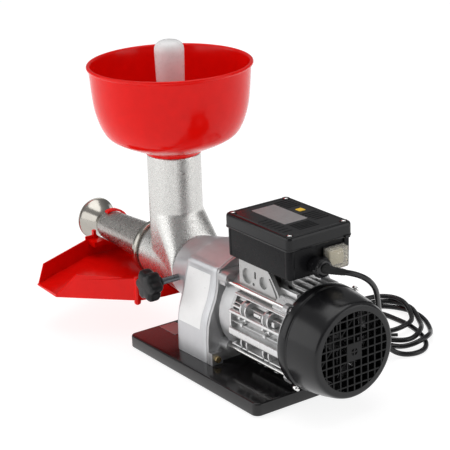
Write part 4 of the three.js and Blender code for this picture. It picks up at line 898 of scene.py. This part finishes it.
def knob():
    n = 72
    KR, KY0, KY1 = 22, -103, -82
    prof = [(0.30, KY0 + 1.5), (0.36, KY0 + 0.2), (KR - 6.5, KY0), (KR - 4.2, KY0 + 0.4), (KR - 1.4, KY0 + 2.6), (KR - 0.3, KY0 + 4.4), (KR, KY0 + 7), (KR, KY1 - 7), (KR - 0.6, KY1 - 4.6), (KR - 2.2, KY1 - 2.6),
            (KR - 5, KY1 - 0.8), (11, KY1)]
    loops_ = []
    for q, y in prof:
        lp = []
        for i in range(n):
            a = TAU * i / n
            lobe = 1 - 0.115 * (1 - cos(6 * a)) * min(1, max(0, (q - 9) / 9)) ** 0.5 if q > 9 else 1
            rr_ = q * lobe
            lp.append((CL[0] + rr_ * cos(a), y, CL[2] + rr_ * sin(a)))
        loops_.append(lp)
    neck_ = [[(CL[0] + r * cos(TAU * i / n), y, CL[2] + r * sin(TAU * i / n)) for i in range(n)] for r, y in ((9.6, KY1 + 0.6), (9, KY1 + 2), (8.7, KY1 + 5.4), (8.2, KY1 + 6), (4.6, KY1 + 6))]
    join("clamp_knob_shell", [stack(loops_ + neck_)], KNOB, "clamp_knob_body", ["clamp_knob"], angle=42)


knob()

# ------------------------------------------------------------------ tray (CAD shape, edges rounded)
refine("juice_tray", RED, 0.9, 26, 3)

# ------------------------------------------------------------------ cord
# from the gland down past the corner, round a loose coil of four turns that lie on the floor
# and on each other, and under the front turns to the plug
route = [
    (176.2, -9.5, 184.5), (184, -8.3, 185.1), (191.5, -4.4, 184.9), (197.2, 2.8, 183.3), (201, 14.5, 179.6), (202.5, 32, 169.5), (197, 50, 151.5),
    (186.5, 63, 130), (174, 76, 108), (159, 91, 88), (141, 107, 70), (126, 120, 53), (115, 131, 37), (113, 142, 22), (113.5, 151.5, 11),
    (116.5, 160, 5), (123.5, 169.5, 3.8), (127.5, 182, 3.8), (126, 196, 3.8), (117, 209, 3.8), (102, 220, 3.8), (81, 230, 3.8), (59, 236.1, 3.8),
    (39, 238.5, 3.8), (20, 237.7, 3.8), (2, 237, 3.8), (-14.5, 232, 3.8), (-25.5, 219.5, 3.8), (-28.5, 205, 3.8), (-22.5, 190.5, 3.8),
    (-9, 181, 3.8), (7, 178.3, 3.8), (24, 176.5, 3.8), (41, 173.7, 3.8), (58, 171.5, 3.8), (76, 170.5, 3.8), (92, 174.5, 3.8), (104, 184, 5),
    (110, 197, 8.5), (110, 211, 11), (104, 225, 10.5), (92, 239.3, 6), (74, 253.9, 3.8), (50, 266.8, 3.8), (26, 273.3, 3.8), (5, 271.7, 3.8),
    (-12, 264.4, 3.8), (-26, 253, 3.8), (-33.5, 240, 3.8), (-37, 225, 3.8), (-37, 207, 3.8), (-31, 189.5, 3.8), (-16.5, 175, 3.8), (8, 168, 3.8),
    (30, 164.5, 3.8), (48, 163.5, 5.5), (64, 165.3, 9), (79, 171, 11), (90, 179, 10.6), (97, 191, 9.4), (97, 205, 9.4), (91, 218, 10.9),
    (82, 231, 10.9), (68, 244.2, 7.5), (50, 256.3, 6), (36, 263.6, 8.5), (22, 269.7, 11), (5, 271.3, 11), (-12, 266.8, 11), (-25, 256.3, 11),
    (-31, 243.3, 11), (-32.5, 226, 11), (-31, 208, 11), (-24, 192, 11), (-11, 178.5, 11), (7, 171.8, 11.2), (24, 171.5, 11.2), (38, 178, 10.9),
    (50, 188, 7), (58, 201, 8), (61, 216, 10.4), (58, 231, 11), (51, 242.5, 10), (40, 252.2, 9.5), (28, 259.5, 12), (14, 264.8, 16.5),
    (-4, 267.2, 18.2), (-19, 263.2, 18.2), (-29, 253.1, 18.2), (-33, 240.9, 18.2), (-34, 226, 18.2), (-33, 208, 18.2), (-29, 191, 17),
    (-25, 175, 12), (-21, 159, 6), (-14, 142, 3.8), (-5, 124, 3.8), (8, 110, 3.8), (24, 101.5, 4.5), (40, 100, 9), (54, 105.5, 14.5),
    (66, 117, 17.3)]


def catmull(pts_, step):
    """points every step mm along a centripetal Catmull-Rom curve"""
    P = [Vector(p) for p in pts_]
    P = [P[0] * 2 - P[1]] + P + [P[-1] * 2 - P[-2]]
    out = []
    for i in range(1, len(P) - 2):
        p0, p1, p2, p3 = P[i - 1:i + 3]
        t0 = 0
        t1 = t0 + (p1 - p0).length ** 0.5
        t2 = t1 + (p2 - p1).length ** 0.5
        t3 = t2 + (p3 - p2).length ** 0.5
        k_ = max(2, int((p2 - p1).length / step))
        for j in range(k_):
            t = t1 + (t2 - t1) * j / k_
            a1 = p0 * ((t1 - t) / (t1 - t0)) + p1 * ((t - t0) / (t1 - t0))
            a2 = p1 * ((t2 - t) / (t2 - t1)) + p2 * ((t - t1) / (t2 - t1))
            a3 = p2 * ((t3 - t) / (t3 - t2)) + p3 * ((t - t2) / (t3 - t2))
            b1 = a1 * ((t2 - t) / (t2 - t0)) + a2 * ((t - t0) / (t2 - t0))
            b2 = a2 * ((t3 - t) / (t3 - t1)) + a3 * ((t - t1) / (t3 - t1))
            out.append(b1 * ((t2 - t) / (t2 - t1)) + b2 * ((t - t1) / (t2 - t1)))
    out.append(P[-2])
    return out


dense = catmull(route, 3)
for _ in range(12):
    dense = dense[:1] + [b_ * 0.5 + (a_ + c_) * 0.25 for a_, b_, c_ in zip(dense, dense[1:], dense[2:])] + dense[-1:]
cu = bpy.data.curves.new("power_cord", "CURVE")
cu.dimensions = "3D"
cu.bevel_depth, cu.bevel_resolution, cu.use_fill_caps = 0.0035, 4, True
sp = cu.splines.new("POLY")
sp.points.add(len(dense) - 1)
for q, p in zip(sp.points, dense):
    q.co = (*T(p), 1)
co = bpy.data.objects.new("power_cord", cu)
bpy.context.scene.collection.objects.link(co)
cu.materials.append(CORD)
sp.use_smooth = True
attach(co, FR)
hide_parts("power_cord_lead", "power_cord_coil")
refine("power_plug", CORD, 0.8, 30, 3, name="power_plug_body")
# tapered strain relief at the gland
sr_path = catmull([(175.4, -9.6, 184.45), (184, -8.3, 185.1), (191.5, -4.4, 184.9), (197.2, 2.8, 183.3), (201, 14.5, 179.6)], 1.2)
acc, V, F, nn = 0.0, [], [], 28
rings = []
prev = None
for i, p in enumerate(sr_path):
    if i:
        acc += (p - sr_path[i - 1]).length
    if acc > 27:
        break
    t = (sr_path[min(i + 1, len(sr_path) - 1)] - sr_path[max(i - 1, 0)]).normalized()
    up = Vector((0, 0, 1))
    s = t.cross(up).normalized()
    u = s.cross(t).normalized()
    r = 5.6 - 1.75 * min(1, acc / 27) + (0.22 if int(acc / 1.6) % 2 == 0 else -0.1)
    rings.append([tuple(p + s * (r * cos(TAU * j / nn)) + u * (r * sin(TAU * j / nn))) for j in range(nn)])
join("cord_strain_relief", [stack(rings)], RUBBER, FR, angle=50)

# ------------------------------------------------------------------ floor, light
me = bpy.data.meshes.new("floor")
s = 12.0
me.from_pydata([(-s, -s, 0), (s, -s, 0), (s, s, 0), (-s, s, 0)], [], [[0, 1, 2, 3]])
floor = bpy.data.objects.new("floor", me)
bpy.context.scene.collection.objects.link(floor)
fm = material("floor_white", (0.30, 0.30, 0.30), rough=0.7, rvar=0.02, var=0.004, spec=0.15)
fb = fm.node_tree.nodes["Principled BSDF"]
fb.inputs["Emission Color"].default_value = (1, 1, 1, 1)
fb.inputs["Emission Strength"].default_value = 0.84
me.materials.append(fm)


def area(name, loc, aim, size, energy, color=(1, 1, 1), size_y=None):
    li = bpy.data.lights.new(name, "AREA")
    li.shape = "RECTANGLE"
    li.size, li.size_y = size, size_y or size
    li.energy, li.color = energy, color
    o = bpy.data.objects.new(name, li)
    bpy.context.scene.collection.objects.link(o)
    o.location = loc
    o.rotation_mode = "QUATERNION"
    o.rotation_quaternion = (Vector(aim) - Vector(loc)).to_track_quat("-Z", "Y")
    return o


def softbox(name, rel, dist, z, w_, h_, radiance, aim=(0, 0, 0.2)):
    """a soft panel, rel degrees clockwise-negative from the camera's side"""
    a_ = radians(-35.8 + rel)
    o_ = area(name, (dist * cos(a_), dist * sin(a_), z), aim, w_, radiance * pi * w_ * h_, size_y=h_)
    o_.visible_camera = False


softbox("left", -72, 3.2, 1.3, 4.6, 2.4, 1.5)
softbox("right", 72, 3.2, 1.2, 2.3, 2.3, 1.5)
softbox("top", 180, 0.5, 3.0, 2.6, 2.6, 1.7)

w = bpy.data.worlds.new("studio")
bpy.context.scene.world = w
w.use_nodes = True
nt = w.node_tree
bg = nt.nodes["Background"]
tc = nt.nodes.new("ShaderNodeTexCoord")
sx = nt.nodes.new("ShaderNodeSeparateXYZ")
nt.links.new(tc.outputs["Generated"], sx.inputs["Vector"])
cr = nt.nodes.new("ShaderNodeValToRGB")
zr = nt.nodes.new("ShaderNodeMapRange")
zr.inputs["From Min"].default_value, zr.inputs["From Max"].default_value = -1, 1
nt.links.new(sx.outputs["Z"], zr.inputs["Value"])
cr.color_ramp.elements[0].position, cr.color_ramp.elements[0].color = 0.0, (0.6, 0.6, 0.6, 1)
cr.color_ramp.elements[1].position, cr.color_ramp.elements[1].color = 1.0, (0.5, 0.5, 0.5, 1)
for pos, v in ((0.46, 0.5), (0.54, 0.17), (0.70, 0.22), (0.86, 0.35)):
    e1 = cr.color_ramp.elements.new(pos)
    e1.color = (v, v, v * 1.01, 1)
nt.links.new(zr.outputs["Result"], cr.inputs["Fac"])
nt.links.new(cr.outputs["Color"], bg.inputs["Color"])
bg.inputs["Strength"].default_value = 1.0
lp = nt.nodes.new("ShaderNodeLightPath")
bg2 = nt.nodes.new("ShaderNodeBackground")
bg2.inputs["Color"].default_value = (1, 1, 1, 1)
mixs = nt.nodes.new("ShaderNodeMixShader")
nt.links.new(lp.outputs["Is Camera Ray"], mixs.inputs["Fac"])
nt.links.new(bg.outputs["Background"], mixs.inputs[1])
nt.links.new(bg2.outputs["Background"], mixs.inputs[2])
nt.links.new(mixs.outputs["Shader"], nt.nodes["World Output"].inputs["Surface"])
bpy.context.scene.view_settings.view_transform = "Standard"
